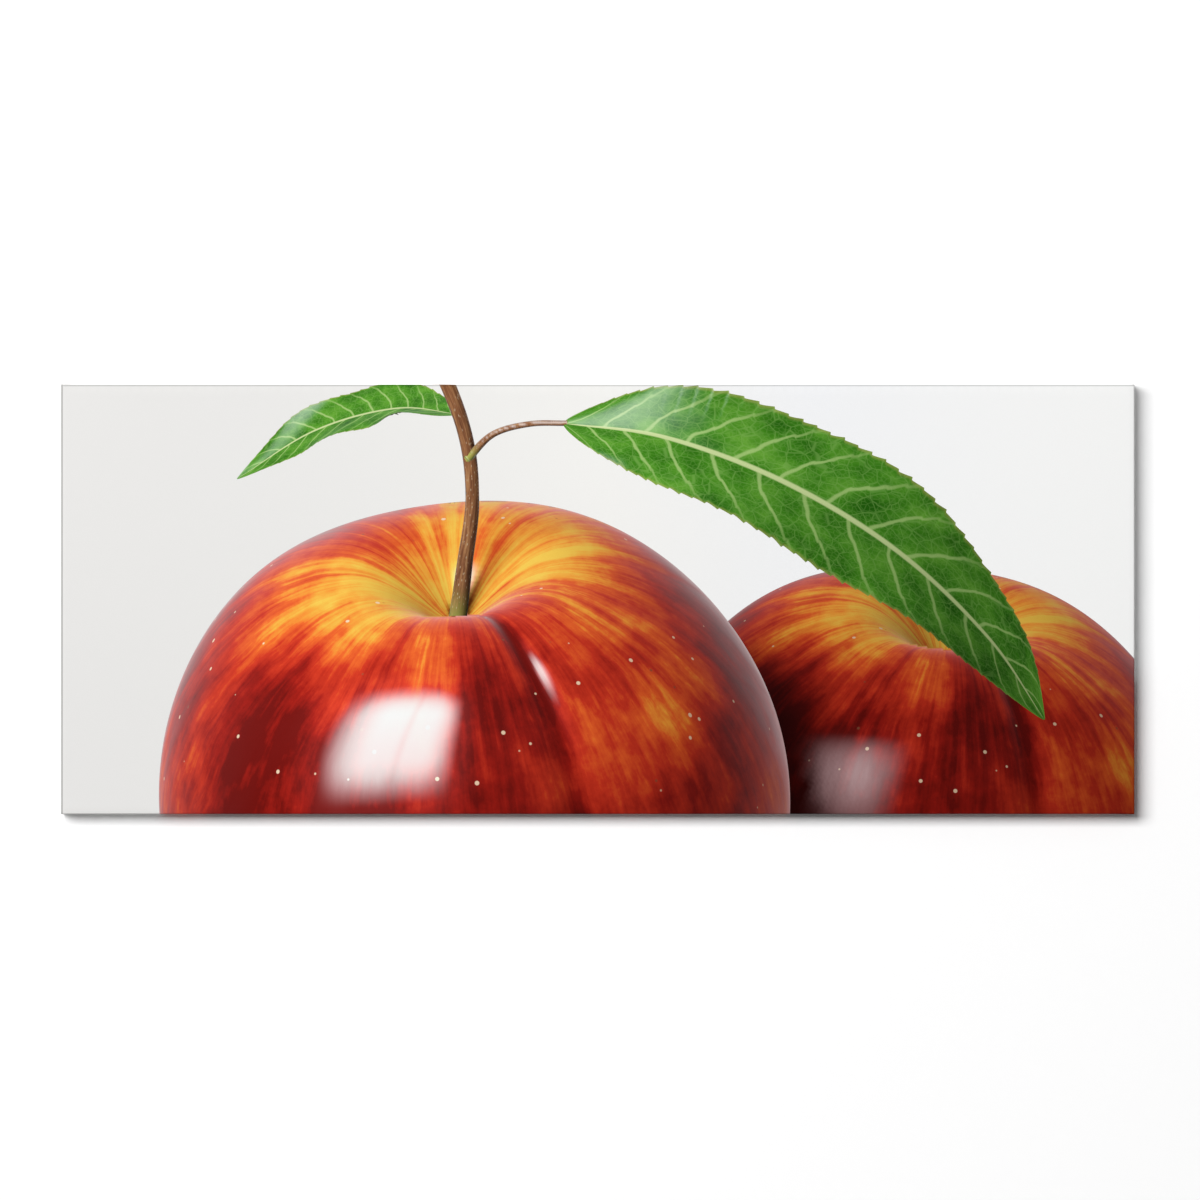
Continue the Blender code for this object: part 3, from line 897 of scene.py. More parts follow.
loose_points = fine_points()
on_the_print = past_the_front(loose_points).max(1) < print_limit
loose_points = loose_points[on_the_cloth(loose_points) & on_the_print]
flat_points, flat_triangles = triangulated(loose_points, outlines + fold_lines(FOLD_SPACING))
print(f"printed side: {len(flat_points)} points, {len(flat_triangles)} triangles")

# %% [markdown]
# ### What each triangle shows
# Every triangle takes the thing that is in front at its middle. Its three corners then ask that
# same thing for a place on its skin, the light there and the shine there. These travel with the
# mesh as attributes, and the finishes read them.

# %% What each triangle shows
RAW = -2
RAW_COTTON = 4
GLOSS_AND_BLUR = {
    "front_fruit": (1.0, 0.52),
    "rear_fruit": (0.48, 0.88),
    "twig": (0.25, 0.52),
    "leaf_stalk": (0.40, 0.52),
    "broad_leaf": (0.26, 0.95),
    "far_leaf": (0.22, 0.95),
}


def seen_on(shape, flat, towards):
    """Where a shape is seen at a flat point; on its very edge the view moves a little inwards."""
    for share in (0.0, 0.02, 0.08, 0.25, 0.6, 1.0):
        x, z = flat + (towards - flat) * share
        hit = shape.seen_at(x, z)
        if hit:
            return hit[1], hit[2]
    raise ValueError(f"{shape.name} isn't seen near {flat}")


def painted(flat, triangles):
    """What each flat triangle shows, and the skin place, light and shine at its three corners."""
    middles = flat[triangles].mean(1)
    past = past_the_front(middles).max(1)
    shown = np.array([thing_at(*m) if p <= print_limit else RAW for m, p in zip(middles, past)])
    place = np.insert(flat, 1, 0.0, axis=1)[triangles]
    light, shine = np.ones(triangles.shape), np.zeros(triangles.shape)
    for k, shape in enumerate(still_life):
        faces = np.nonzero(shown == k)[0]
        if not len(faces):
            continue
        used, first, back = np.unique(triangles[faces].ravel(), return_index=True, return_inverse=True)
        hits = [seen_on(shape, flat[u], middles[faces[f // 3]]) for u, f in zip(used, first)]
        points = np.array([point[:] for point, _ in hits])
        struck = np.array([triangle for _, triangle in hits])
        normals, skin = shape.skin(points, struck)
        opened = shape.open[shape.triangles[struck]].mean(1)
        if shape.name.endswith("leaf"):
            skin[:, 2] = normals @ VIEW < 0
        glow = painted_light(points, normals, opened, *GLOSS_AND_BLUR[shape.name])
        place[faces] = skin[back].reshape(-1, 3, 3)
        light[faces], shine[faces] = (values[back].reshape(-1, 3) for values in glow)
    return shown, place, light, shine


shown, corner_place, corner_light, corner_shine = painted(flat_points, flat_triangles)
print("triangles per thing:", {s.name: int((shown == k).sum()) for k, s in enumerate(still_life)})

# %% [markdown]
# ### Closing the cloth
# Cloth has two faces. The inner one carries no picture, so it needs few triangles. It is laid out
# and folded by the same rule, one cloth thickness further in, and sewn to the printed face along
# the cut edge, so that the whole is one closed sheet.

# %% The inner face and the closed sheet
INNER_SPACING = 0.045
MERGE_STEP = 3.1e-6


def inner_points():
    """A sparse grid of points on the front, which the inner face spans."""
    across, up = (np.arange(-half + 0.02, half, INNER_SPACING) for half in half_front)
    return np.array([(x, z) for x in across for z in up])


def facing(flat, triangles, out):
    """The corner order that makes every flat triangle face out of the cloth, or into it."""
    p = flat[triangles]
    a, b = p[:, 1] - p[:, 0], p[:, 2] - p[:, 0]
    turns_out = a[:, 0] * b[:, 1] - a[:, 1] * b[:, 0] > 0
    return np.where((turns_out == out)[:, None], (0, 1, 2), (0, 2, 1))


def merged(flat, points):
    """Joins points past the front that share a place, and says which one each point became."""
    own = np.where(past_the_front(flat).max(1) == 0, np.arange(1, len(flat) + 1), 0)
    keys = np.column_stack([np.round(points / MERGE_STEP).astype(np.int64), own])
    _, first, back = np.unique(keys, axis=0, return_index=True, return_inverse=True)
    return points[first], back.ravel()


inner_flat, inner_triangles = triangulated(inner_points(), fold_lines(INNER_SPACING))
outer_order = facing(flat_points, flat_triangles, True)
outer_faces = np.take_along_axis(flat_triangles, outer_order, 1)
inner_faces = np.take_along_axis(inner_triangles, facing(inner_flat, inner_triangles, False), 1)

rim = np.vstack(rim_sides())
rim_starts = np.cumsum([0] + [len(side) for side in rim_sides()])
rim_here = np.concatenate([np.arange(a, b - 1) for a, b in zip(rim_starts, rim_starts[1:])])
rim_outer = len(flat_points) + len(inner_flat) + rim_here
rim_inner = rim_outer + len(rim)
rim_faces = two_triangles(rim_outer, rim_inner, rim_inner + 1, rim_outer + 1)
sheet_points, joined = merged(
    np.vstack([flat_points, inner_flat, rim, rim]),
    np.vstack([folded(flat_points), folded(inner_flat, True), folded(rim), folded(rim, True)]),
)
sheet_faces = joined[np.vstack([outer_faces, inner_faces + len(flat_points), rim_faces])]
edge_pairs = np.sort(sheet_faces[:, [0, 1, 1, 2, 2, 0]].reshape(-1, 2), axis=1)
edge_uses = np.unique(edge_pairs, axis=0, return_counts=True)[1]
print(f"sheet: {len(sheet_faces)} triangles, edges not shared by two: {(edge_uses != 2).sum()}")

# %% The cloth as an object
PRINT_FINISHES = []
FINISH_OF = {"front_fruit": 1, "rear_fruit": 1, "twig": 2, "leaf_stalk": 2, "broad_leaf": 3, "far_leaf": 3}
FINISH_BY_THING = np.array([FINISH_OF[shape.name] for shape in still_life] + [RAW_COTTON, 0])


def cloth_object(name, points, faces, finishes, corners, smooth_angle=50):
    """A piece of printed cloth: its mesh, the finish of each triangle and what its corners show."""
    mesh = bpy.data.meshes.new(name)
    mesh.from_pydata(points.tolist(), [], faces.tolist())
    mesh.polygons.foreach_set("material_index", finishes)
    for label, values in zip(("skin_place", "painted_light", "painted_shine"), corners):
        wide = values.ndim == 3
        kind = "FLOAT_VECTOR" if wide else "FLOAT"
        spread = np.zeros((len(faces), *values.shape[1:]), np.float32)
        spread[: len(values)] = values
        layer = mesh.attributes.new(label, kind, "CORNER")
        layer.data.foreach_set("vector" if wide else "value", spread.ravel())
    mesh.shade_smooth()
    mesh.set_sharp_from_angle(angle=math.radians(smooth_angle))
    made = placed(name, mesh)
    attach(made, "root")
    return made


def in_order(values, order):
    """Corner values in the mesh's own corner order."""
    return np.take_along_axis(values, order[..., None] if values.ndim == 3 else order, 1)


finish_numbers = np.full(len(sheet_faces), RAW_COTTON)
finish_numbers[: len(shown)] = FINISH_BY_THING[shown]
corner_values = [in_order(v, outer_order) for v in (corner_place, corner_light, corner_shine)]
cloth = cloth_object("printed_cloth", sheet_points, sheet_faces, finish_numbers, corner_values)
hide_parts("canvas")
print("the cloth's box:", [round(d * 1000, 2) for d in cloth.dimensions])

# %% [markdown]
# ## Inks on matte cotton
# Pigment ink sinks into the coated cotton and stays matte, so even the whitest highlight in the
# picture is only bare white cloth. Each ink recipe makes the colour of a skin, and one shared step
# multiplies it by the painted light, adds the painted shine, and rolls it off below paper white.
# The weave shows through all of it as a fine over-and-under relief, with painted shade between
# the threads, and a painted shade line darkens the bend along the left and top edges.

# %% The weave and the shared ink step
WEAVE_REPEAT = 0.0007
THREAD_HEIGHT = 0.00005
# Painted shade line on the bend along the left and top edges: its strength at each, and where it starts and
# fades.
LEFT_EDGE_SHADE, TOP_EDGE_SHADE = 0.50, 0.30
LINE_STARTS, LINE_FULL = 0.0025, 0.0015
LINE_FADES, LINE_ENDS = 0.0010, 0.0028
PAPER_WHITE = 0.88


def weave(tree, shader, strength=0.5):
    """A plain weave of slightly uneven threads, which repeats after two; it gives their height."""
    place = object_place(tree)
    wander = noise(tree, place, 160.0, 2.0)
    parts = split(tree, place)
    waves = []
    for axis in (0, 2):
        wavy = calc(tree, "MULTIPLY_ADD", wander, 0.0003, parts[axis])
        waves.append(calc(tree, "SINE", calc(tree, "MULTIPLY", wavy, 2 * math.pi / WEAVE_REPEAT)))
    over = calc(tree, "MULTIPLY", waves[0], waves[1])
    height = calc(tree, "MULTIPLY_ADD", over, 0.5, noise(tree, place, 900.0, 1.0))
    raised(tree, shader, height, strength, THREAD_HEIGHT)
    return height


def lit_skin(tree, colour, weak_shine=(0.90, 0.97, 1.0), unevenness=None):
    """The colour of a skin in the painted light, with its shine, rolled off below paper white."""
    lit = vector(tree, "SCALE", colour)
    scale = lit.node.inputs["Scale"]
    tree.links.new(attribute(tree, "painted_light")["Fac"], scale)
    shine = attribute(tree, "painted_shine")["Fac"]
    if unevenness is not None:
        edge = calc(tree, "MULTIPLY", shine, calc(tree, "SUBTRACT", 1.0, shine, clamp=True))
        shine = calc(tree, "MULTIPLY_ADD", edge, unevenness, shine)
    shine_colour = mixed(tree, smooth(tree, shine, 0.10, 0.80), weak_shine, (1.0, 0.985, 0.97))
    with_shine = vector(tree, "MULTIPLY_ADD", shine_colour, shine, lit)
    roll_off = vector(tree, "MULTIPLY_ADD", with_shine, (0.42, 0.42, 0.42), (0.92, 0.92, 0.92))
    rolled = vector(tree, "DIVIDE", with_shine, roll_off)
    return vector(tree, "MINIMUM", rolled, (PAPER_WHITE, PAPER_WHITE, PAPER_WHITE))


def print_ink(tree, shader, ink):
    """Prints ink on the woven cloth, with painted shade between threads and on the left and top bends."""
    # Painted shade: the ink is darker where the weave lies low, between the threads.
    shade_between_threads = smooth(tree, weave(tree, shader), -0.2, 0.9, 0.95, 1.0)
    parts = split(tree, object_place(tree))
    # Painted shade: a thin darker line on the front of the bend, along the left and top edges only.
    lines = []
    for axis, edge, inwards, strength in ((0, cloth_low.x, 1, LEFT_EDGE_SHADE), (2, cloth_high.z, -1, TOP_EDGE_SHADE)):
        inside = calc(tree, "MULTIPLY", calc(tree, "SUBTRACT", parts[axis], edge), inwards)
        lines.append(smooth(tree, inside, LINE_FULL, LINE_STARTS, -strength, 0.0))
    fades, ends = cloth_low.y + LINE_FADES, cloth_low.y + LINE_ENDS
    near_the_front = smooth(tree, parts[1], fades, ends, 1.0, 0.0)
    edge_line_shade = calc(tree, "MULTIPLY", calc(tree, "MINIMUM", *lines), near_the_front)
    tone = calc(tree, "MULTIPLY", shade_between_threads, calc(tree, "ADD", edge_line_shade, 1.0))
    coloured(tree, shader, vector(tree, "MULTIPLY", ink, tone))


# %% The ground of the picture
ground, tree, shader = new_finish("printed_ground", roughness=0.9, specular=0.02)
place = attribute(tree, "skin_place")["Vector"]
parts = split(tree, place)
cloudy = noise(tree, place, 2.2, 1.0)
rightward = calc(tree, "MULTIPLY_ADD", cloudy, 0.25, calc(tree, "ADD", parts[0], -0.125))
tint = ramp(
    tree,
    smooth(tree, rightward, -0.62, 0.62),
    (0.0, (0.738, 0.731, 0.717)),
    (0.50, (0.828, 0.821, 0.798)),
    (0.78, (0.822, 0.828, 0.842)),
    (1.0, (0.852, 0.854, 0.846)),
)
upward = smooth(tree, parts[2], -0.25, 0.25, 0.985, 1.01)
print_ink(tree, shader, vector(tree, "MULTIPLY", tint, upward))
PRINT_FINISHES.append(ground)
print("ground ready")

# %% [markdown]
# ### The fruit's skin
# A ripe stone fruit blushes where the sun reached it. The blush is not even: it breaks into streaks
# that run from the stem to the tip, over a yellow ground that shows in the hollow and on the shaded
# cheek, and small pale dots sit in it. All of that is read from the place on the skin.

# %% Skin ink
fruit_ink, tree, shader = new_finish("printed_fruit", roughness=0.9, specular=0.02)
place = attribute(tree, "skin_place")["Vector"]
parts = split(tree, place)
round_stem = vector(tree, "NORMALIZE", vector(tree, "MULTIPLY", place, (1.0, 1.0, 0.0)))
down_the_side = put(tree, "CombineXYZ", {2: parts[2]}).outputs[0]
wander = put(tree, "CombineXYZ", {0: calc(tree, "MULTIPLY", noise(tree, place, 3.2, 2.0), 1.9)}).outputs[0]


def skin_streaks(width, length, detail, roughness):
    """Streaks from the stem to the tip that wander a little; width and length count them."""
    streak_place = vector(
        tree,
        "ADD",
        vector(tree, "MULTIPLY_ADD", round_stem, (width, width, 0.0), wander),
        vector(tree, "MULTIPLY", down_the_side, (0.0, 0.0, length)),
    )
    return noise(tree, streak_place, 1.0, detail, roughness)


broad = noise(tree, place, 1.5, 2.0)
mottle = noise(tree, place, 9.0, 4.0, 0.65)
streaks = skin_streaks(6.0, 1.5, 6.0, 0.62)
hairlines = skin_streaks(30.0, 4.5, 3.0, 0.6)
sunward = put(tree, "VectorMath", {0: place, 1: (0.35, -0.55, 0.30)}, operation="DOT_PRODUCT")
hollow_ground = smooth(tree, parts[2], 0.66, 0.93)
blush = calc(tree, "MULTIPLY_ADD", sunward.outputs["Value"], 0.20, 0.66)
for pattern, share in ((streaks, 1.05), (hairlines, 0.40), (mottle, 0.55), (broad, 1.6)):
    blush = calc(tree, "MULTIPLY_ADD", calc(tree, "SUBTRACT", pattern, 0.5), share, blush)
blush = calc(tree, "MULTIPLY_ADD", hollow_ground, -0.30, blush, clamp=True)
in_crease = smooth(tree, calc(tree, "ABSOLUTE", parts[1]), 0.0, 0.07, 0.30, 0.0)
in_crease = calc(tree, "MULTIPLY", in_crease, smooth(tree, parts[0], 0.02, 0.3))
blush = calc(tree, "ADD", blush, in_crease, clamp=True)
skin = ramp(
    tree,
    blush,
    (0.0, (0.84, 0.46, 0.055)),
    (0.20, (0.86, 0.26, 0.028)),
    (0.38, (0.70, 0.082, 0.014)),
    (0.58, (0.46, 0.022, 0.008)),
    (0.80, (0.23, 0.006, 0.003)),
    (1.0, (0.10, 0.002, 0.001)),
)
dots = put(tree, "TexVoronoi", {"Vector": place, "Scale": 17.0, "Randomness": 1.0})
dot_chance = split(tree, dots.outputs["Color"])[0]
dot_size = smooth(tree, dot_chance, 0.45, 1.0, -0.06, 0.105)
dot = smooth(tree, calc(tree, "SUBTRACT", dots.outputs["Distance"], dot_size), 0.0, 0.045, 0.78, 0.0)
skin = mixed(tree, dot, skin, (0.88, 0.62, 0.40))
specks = put(tree, "TexVoronoi", {"Vector": place, "Scale": 7.5})
scar = smooth(tree, specks.outputs["Distance"], 0.025, 0.060, 0.75, 0.0)
skin = mixed(tree, scar, skin, (0.16, 0.055, 0.025))
uneven_shine = calc(tree, "MULTIPLY_ADD", calc(tree, "ADD", streaks, broad), 2.2, -2.2)
print_ink(tree, shader, lit_skin(tree, skin, (1.0, 0.68, 0.70), uneven_shine))
PRINT_FINISHES.append(fruit_ink)
print("skin ink has", len(tree.nodes), "nodes")

# %% Bark ink
twig_ink, tree, shader = new_finish("printed_twig", roughness=0.9, specular=0.02)
place = attribute(tree, "skin_place")["Vector"]
along = split(tree, place)[0]
grain = noise(tree, scaled(tree, place, 5.0, 1.5, 1.5), 2.2, 5.0, 0.65)
bark = ramp(
    tree,
    grain,
    (0.25, (0.060, 0.022, 0.012)),
    (0.48, (0.200, 0.078, 0.034)),
    (0.62, (0.330, 0.150, 0.062)),
    (0.80, (0.480, 0.290, 0.150)),
)
pores = put(tree, "TexVoronoi", {"Vector": scaled(tree, place, 26.0, 2.2, 2.2), "Scale": 1.6})
bark = mixed(tree, smooth(tree, pores.outputs["Distance"], 0.12, 0.24, 0.7, 0.0), bark, (0.58, 0.42, 0.26))
young = smooth(tree, calc(tree, "MULTIPLY_ADD", grain, 0.12, along), 0.05, 0.26, 0.85, 0.0)
bark = mixed(tree, young, bark, (0.330, 0.380, 0.070))
print_ink(tree, shader, lit_skin(tree, bark))
PRINT_FINISHES.append(twig_ink)

# %% [markdown]
# ### The leaf
# A leaf is read by its veins. The middle rib is pale, the side veins leave it at a slant and bend
# towards the tip, and a fine net fills the rest. Between the veins the green is deepest, and the
# side that faces away from the sun is paler and greyer.

# %% Leaf ink
VEIN_PAIRS = 13.0
leaf_ink, tree, shader = new_finish("printed_leaf", roughness=0.9, specular=0.02)
place = attribute(tree, "skin_place")["Vector"]
along, across, underside = split(tree, place)
off_rib = calc(tree, "ABSOLUTE", across)
wobble = noise(tree, scaled(tree, place, 14.0, 2.0, 1.0), 1.0, 2.0)
bend = calc(tree, "MULTIPLY", calc(tree, "POWER", off_rib, 1.35), 1.35)
vein_place = calc(tree, "SUBTRACT", calc(tree, "MULTIPLY", along, VEIN_PAIRS), bend)
vein_place = calc(tree, "MULTIPLY_ADD", wobble, 0.35, vein_place)
vein_place = calc(tree, "MULTIPLY_ADD", calc(tree, "SIGN", across), 0.22, vein_place)
between = calc(tree, "PINGPONG", vein_place, 0.5)
side_vein = smooth(tree, between, 0.018, 0.075, 1.0, 0.0)
side_vein = calc(tree, "MULTIPLY", side_vein, smooth(tree, off_rib, 0.50, 0.98, 1.0, 0.35))
rib = smooth(tree, off_rib, 0.022, 0.055, 1.0, 0.0)
unsteady = put(tree, "CombineXYZ", {0: calc(tree, "MULTIPLY", wobble, 0.8)}).outputs[0]


def vein_net(along_count, across_count, thin, thick, strength):
    """A net of fine veins; the counts are its meshes along the leaf and across half of it."""
    mesh_place = vector(tree, "MULTIPLY_ADD", place, (along_count, across_count, 0.0), unsteady)
    net = put(tree, "TexVoronoi", {"Vector": mesh_place, "Scale": 1.0}, feature="DISTANCE_TO_EDGE")
    return smooth(tree, net.outputs["Distance"], thin, thick, strength, 0.0)


coarse_net = vein_net(44.0, 6.0, 0.008, 0.060, 0.34)
net_vein = calc(tree, "MAXIMUM", coarse_net, vein_net(120.0, 17.0, 0.01, 0.14, 0.17))
patchy = noise(tree, scaled(tree, place, 9.0, 1.6, 1.0), 1.0, 4.0, 0.6)
green = ramp(
    tree,
    calc(tree, "MULTIPLY_ADD", between, -0.22, patchy),
    (0.24, (0.011, 0.082, 0.002)),
    (0.44, (0.034, 0.160, 0.007)),
    (0.66, (0.090, 0.275, 0.023)),
)
top = mixed(tree, net_vein, green, (0.180, 0.380, 0.080))
top = mixed(tree, calc(tree, "MULTIPLY", side_vein, 0.72), top, (0.300, 0.480, 0.140))
under = mixed(tree, side_vein, mixed(tree, 0.62, green, (0.300, 0.420, 0.160)), (0.420, 0.530, 0.230))
colour = mixed(tree, underside, top, under)
colour = mixed(tree, rib, colour, (0.460, 0.580, 0.230))
rim_tint = smooth(tree, off_rib, 0.93, 1.0, 0.0, 0.45)
colour = mixed(tree, rim_tint, colour, (0.330, 0.330, 0.080))
print_ink(tree, shader, lit_skin(tree, colour))
PRINT_FINISHES.append(leaf_ink)

# %% Raw cotton
cotton, tree, shader = new_finish("raw_cotton", roughness=0.95, specular=0.1)
shader.inputs["Sheen Weight"].default_value = 0.25
shader.inputs["Sheen Roughness"].default_value = 0.6
height = weave(tree, shader, 0.9)
place = object_place(tree)
flecks = smooth(tree, noise(tree, place, 420.0, 3.0, 0.7), 0.66, 0.76, 0.0, 0.55)
natural = ramp(
    tree,
    noise(tree, scaled(tree, place, 1.0, 1.0, 0.3), 26.0, 5.0, 0.7),
    (0.3, (0.70, 0.66, 0.57)),
    (0.7, (0.76, 0.73, 0.65)),
)
natural = mixed(tree, flecks, natural, (0.40, 0.31, 0.20))
# Painted shade: the raw cotton is darker where the weave lies low, between the threads.
threads = smooth(tree, height, -0.2, 0.9, 0.76, 1.0)
coloured(tree, shader, vector(tree, "MULTIPLY", natural, threads))
PRINT_FINISHES.append(cotton)
for finish in PRINT_FINISHES:
    cloth.data.materials.append(finish)
print("cloth finishes:", [m.name for m in cloth.data.materials])

# %% [markdown]
# ## The folded corners
# Where two sides meet, the spare cloth is tucked under and laid flat on the top and bottom sides,
# where it shows least. Its folded edge runs slantwise from the front corner to the back, and on
# over the back of the frame. Each tuck is a thin second ply that follows the fold rule of the
# cloth below it, so it bends round the back edge with it.

# %% Corner tucks
TUCK_THICKNESS = 0.0006
TUCK_SINK = 0.00008
TUCK_EDGE = 0.00004
TUCK_REACH = 0.021
TUCK_ROWS = 34
TUCK_STARTS, TUCK_ENDS = 0.0006, 0.001
TUCK_INSET, TUCK_TIP = 0.0002, 0.0006
TUCK_SHARES = np.array([0.0, 0.04, 0.25, 0.55, 0.80, 0.93, 0.98, 1.0])
TUCK_PROFILE = np.array([0.0, 0.7, 1.0, 0.92, 1.0, 1.0, 0.72, 0.0])


def corner_tuck(name, sx, sz):
    """A thin folded ply over one corner, from the front edge to the end of the flap behind."""
    past = np.linspace(fold_length[BEND_STEPS] - TUCK_STARTS, margin - TUCK_ENDS, TUCK_ROWS)
    past[np.abs(past - print_limit).argmin()] = print_limit
    corner = half_front[0] + side_limit(past) - TUCK_INSET
    run = (past - past[0]) / (past[-1] - past[0])
    width = TUCK_TIP + TUCK_REACH * np.minimum(run * 2.2, 1 + 0.2 * run) * (1 - 0.35 * run)
    across = corner[:, None] - width[:, None] * TUCK_SHARES
    upward = np.broadcast_to((sz * (half_front[1] + past))[:, None], across.shape)
    flat = np.stack([sx * across, upward], -1).reshape(-1, 2)
    outer = folded(flat)
    outward = unit(outer - folded(flat, inside=True))
    ends = np.clip(np.minimum(run, 1 - run) * 12, 0, 1)
    height = TUCK_EDGE + (ends[:, None] * TUCK_PROFILE).ravel() * TUCK_THICKNESS
    points = np.vstack([outer + outward * height[:, None], outer - outward * TUCK_SINK])
    columns = len(TUCK_SHARES)
    ids = np.arange(TUCK_ROWS * columns).reshape(TUCK_ROWS, columns)
    top = two_triangles(ids[:-1, :-1], ids[:-1, 1:], ids[1:, 1:], ids[1:, :-1])
    around = np.concatenate([ids[0], ids[1:, -1], ids[-1, -2::-1], ids[-2:0:-1, 0]])
    after = np.roll(around, -1)
    under = len(flat)
    rim = two_triangles(around, around + under, after + under, after)
    order = (0, 1, 2) if sx * sz < 0 else (0, 2, 1)
    faces = np.vstack([top[:, order], (top + under)[:, order[::-1]], rim[:, order]])
    shown, *corners = painted(flat, top)
    numbers = np.full(len(faces), RAW_COTTON)
    numbers[: len(shown)] = FINISH_BY_THING[shown]
    numbers[len(shown) :] = FINISH_BY_THING[shown[0]]
    order_rows = np.broadcast_to(order, top.shape)
    tuck = cloth_object(name, points, faces, numbers, [in_order(v, order_rows) for v in corners], 40)
    for finish in PRINT_FINISHES:
        tuck.data.materials.append(finish)
    return tuck


tucks = [
    corner_tuck(f"corner_tuck_{row}_{side}", sx, sz)
    for row, sz in (("bottom", -1), ("top", 1))
    for side, sx in (("left", -1), ("right", 1))
]
print("tucks:", [tuck.name for tuck in tucks])

# %% [markdown]
# ## Pine and beech
# Stretcher bars are cheap, clean pine. Sawn along the log, it shows growth rings as long pointed
# arches: the pale spring wood fades into a dark line of summer wood and then starts again sharply.
# A ring is a distance from the middle of the log, so the recipe measures that distance, lets it
# wander along the bar, pushes it aside round a knot, and colours it by where it falls in a ring.

# %% Pine
RING_WIDTH = 0.0027
RING_WANDER = 0.016
KNOT_PUSH, KNOT_FADE = 0.011, -95.0
KNOT_CORE, KNOT_RIM = 0.0030, 0.0052


def pine(name, along_x, log_middle, seed, knot):
    """Pine with its grain along the bar; log_middle and knot are in the bar's own cross places."""
    finish, tree, shader = new_finish(name, roughness=0.62, specular=0.3)
    parts = split(tree, object_place(tree))
    deep, across, along = (parts[1], parts[2], parts[0]) if along_x else (parts[1], parts[0], parts[2])
    stretched = calc(tree, "MULTIPLY_ADD", along, 0.07, seed)
    grain_place = put(tree, "CombineXYZ", {0: deep, 1: across, 2: stretched}).outputs[0]
    wander = noise(tree, grain_place, 16.0, 3.0, 0.5)
    off_deep = calc(tree, "SUBTRACT", deep, log_middle[0])
    off_across = calc(tree, "SUBTRACT", across, log_middle[1])
    out = step_length(tree, off_deep, off_across)
    knot_along = calc(tree, "MULTIPLY", calc(tree, "SUBTRACT", along, knot[0]), 0.62)
    away = step_length(tree, knot_along, calc(tree, "SUBTRACT", across, knot[1]))
    near_knot = calc(tree, "EXPONENT", calc(tree, "MULTIPLY", away, KNOT_FADE))
    out = calc(tree, "MULTIPLY_ADD", wander, RING_WANDER, out)
    out = calc(tree, "MULTIPLY_ADD", near_knot, KNOT_PUSH, out)
    ring = calc(tree, "FRACT", calc(tree, "DIVIDE", out, RING_WIDTH))
    late = calc(tree, "MULTIPLY", smooth(tree, ring, 0.35, 0.90), smooth(tree, ring, 0.93, 0.99, 1.0, 0.0))
    long_fibres = calc(tree, "MULTIPLY", along, 0.02)
    fibre_place = put(tree, "CombineXYZ", {0: deep, 1: across, 2: long_fibres}).outputs[0]
    fibres = noise(tree, fibre_place, 1600.0, 3.0, 0.6)
    wood = ramp(
        tree,
        late,
        (0.0, (0.745, 0.540, 0.300)),
        (0.5, (0.660, 0.430, 0.205)),
        (1.0, (0.430, 0.220, 0.078)),
    )
    in_knot = smooth(tree, away, KNOT_CORE, KNOT_RIM, 1.0, 0.0)
    knot_rings = calc(tree, "SINE", calc(tree, "MULTIPLY", away, 6500.0))
    knot_wood = mixed(tree, smooth(tree, knot_rings, -0.6, 1.0), (0.150, 0.058, 0.020), (0.270, 0.120, 0.045))
    wood = mixed(tree, in_knot, wood, knot_wood)
    blotch = noise(tree, grain_place, 24.0, 2.0)
    shade = calc(tree, "MULTIPLY_ADD", blotch, 0.22, calc(tree, "MULTIPLY_ADD", fibres, 0.26, 0.77))
    coloured(tree, shader, vector(tree, "MULTIPLY", wood, shade))
    raised(tree, shader, calc(tree, "MULTIPLY_ADD", late, 0.6, fibres), 0.5, 0.00012)
    tree.links.new(smooth(tree, late, 0.0, 1.0, 0.68, 0.50), shader.inputs["Roughness"])
    return finish


dress("bar_top", pine("pine_top", True, (-0.045, 0.245), 3.1, (-0.410, 0.216)))
dress("bar_bottom", pine("pine_bottom", True, (-0.030, -0.236), 7.7, (0.335, -0.219)))
dress("bar_left", pine("pine_left", False, (-0.050, -0.585), 1.3, (0.062, -0.592)))
dress("bar_right", pine("pine_right", False, (-0.070, 0.620), 5.2, (-0.094, 0.594)))
dress("brace_centre", pine("pine_brace", False, (-0.040, 0.006), 9.4, (0.118, 0.008)))

# %% Beech wedges
beech, tree, shader = new_finish("beech", roughness=0.5, specular=0.35)
place = object_place(tree)
fine = noise(tree, scaled(tree, place, 260.0, 900.0, 260.0), 1.0, 3.0, 0.6)
wood = ramp(tree, fine, (0.3, (0.500, 0.290, 0.150)), (0.7, (0.660, 0.430, 0.255)))
flecks = put(tree, "TexVoronoi", {"Vector": scaled(tree, place, 500.0, 1500.0, 1500.0), "Scale": 1.0})
in_fleck = smooth(tree, flecks.outputs["Distance"], 0.10, 0.22, 0.55, 0.0)
coloured(tree, shader, mixed(tree, in_fleck, wood, (0.300, 0.140, 0.062)))
raised(tree, shader, fine, 0.4, 0.0001)
for name in nodes:
    if name.startswith("wedge_"):
        dress(name, beech)
print("wooden nodes dressed")

# %% [markdown]
# ## Metal
# The staples are zinc-coated wire, dull grey with darker handling marks. The toothed hangers and
# their pins are steel with a thin bright brass coat, brushed along their length, and a little
# tarnished. The dark patches are rougher too, which is what makes a metal look handled.

# %% Zinc and brass


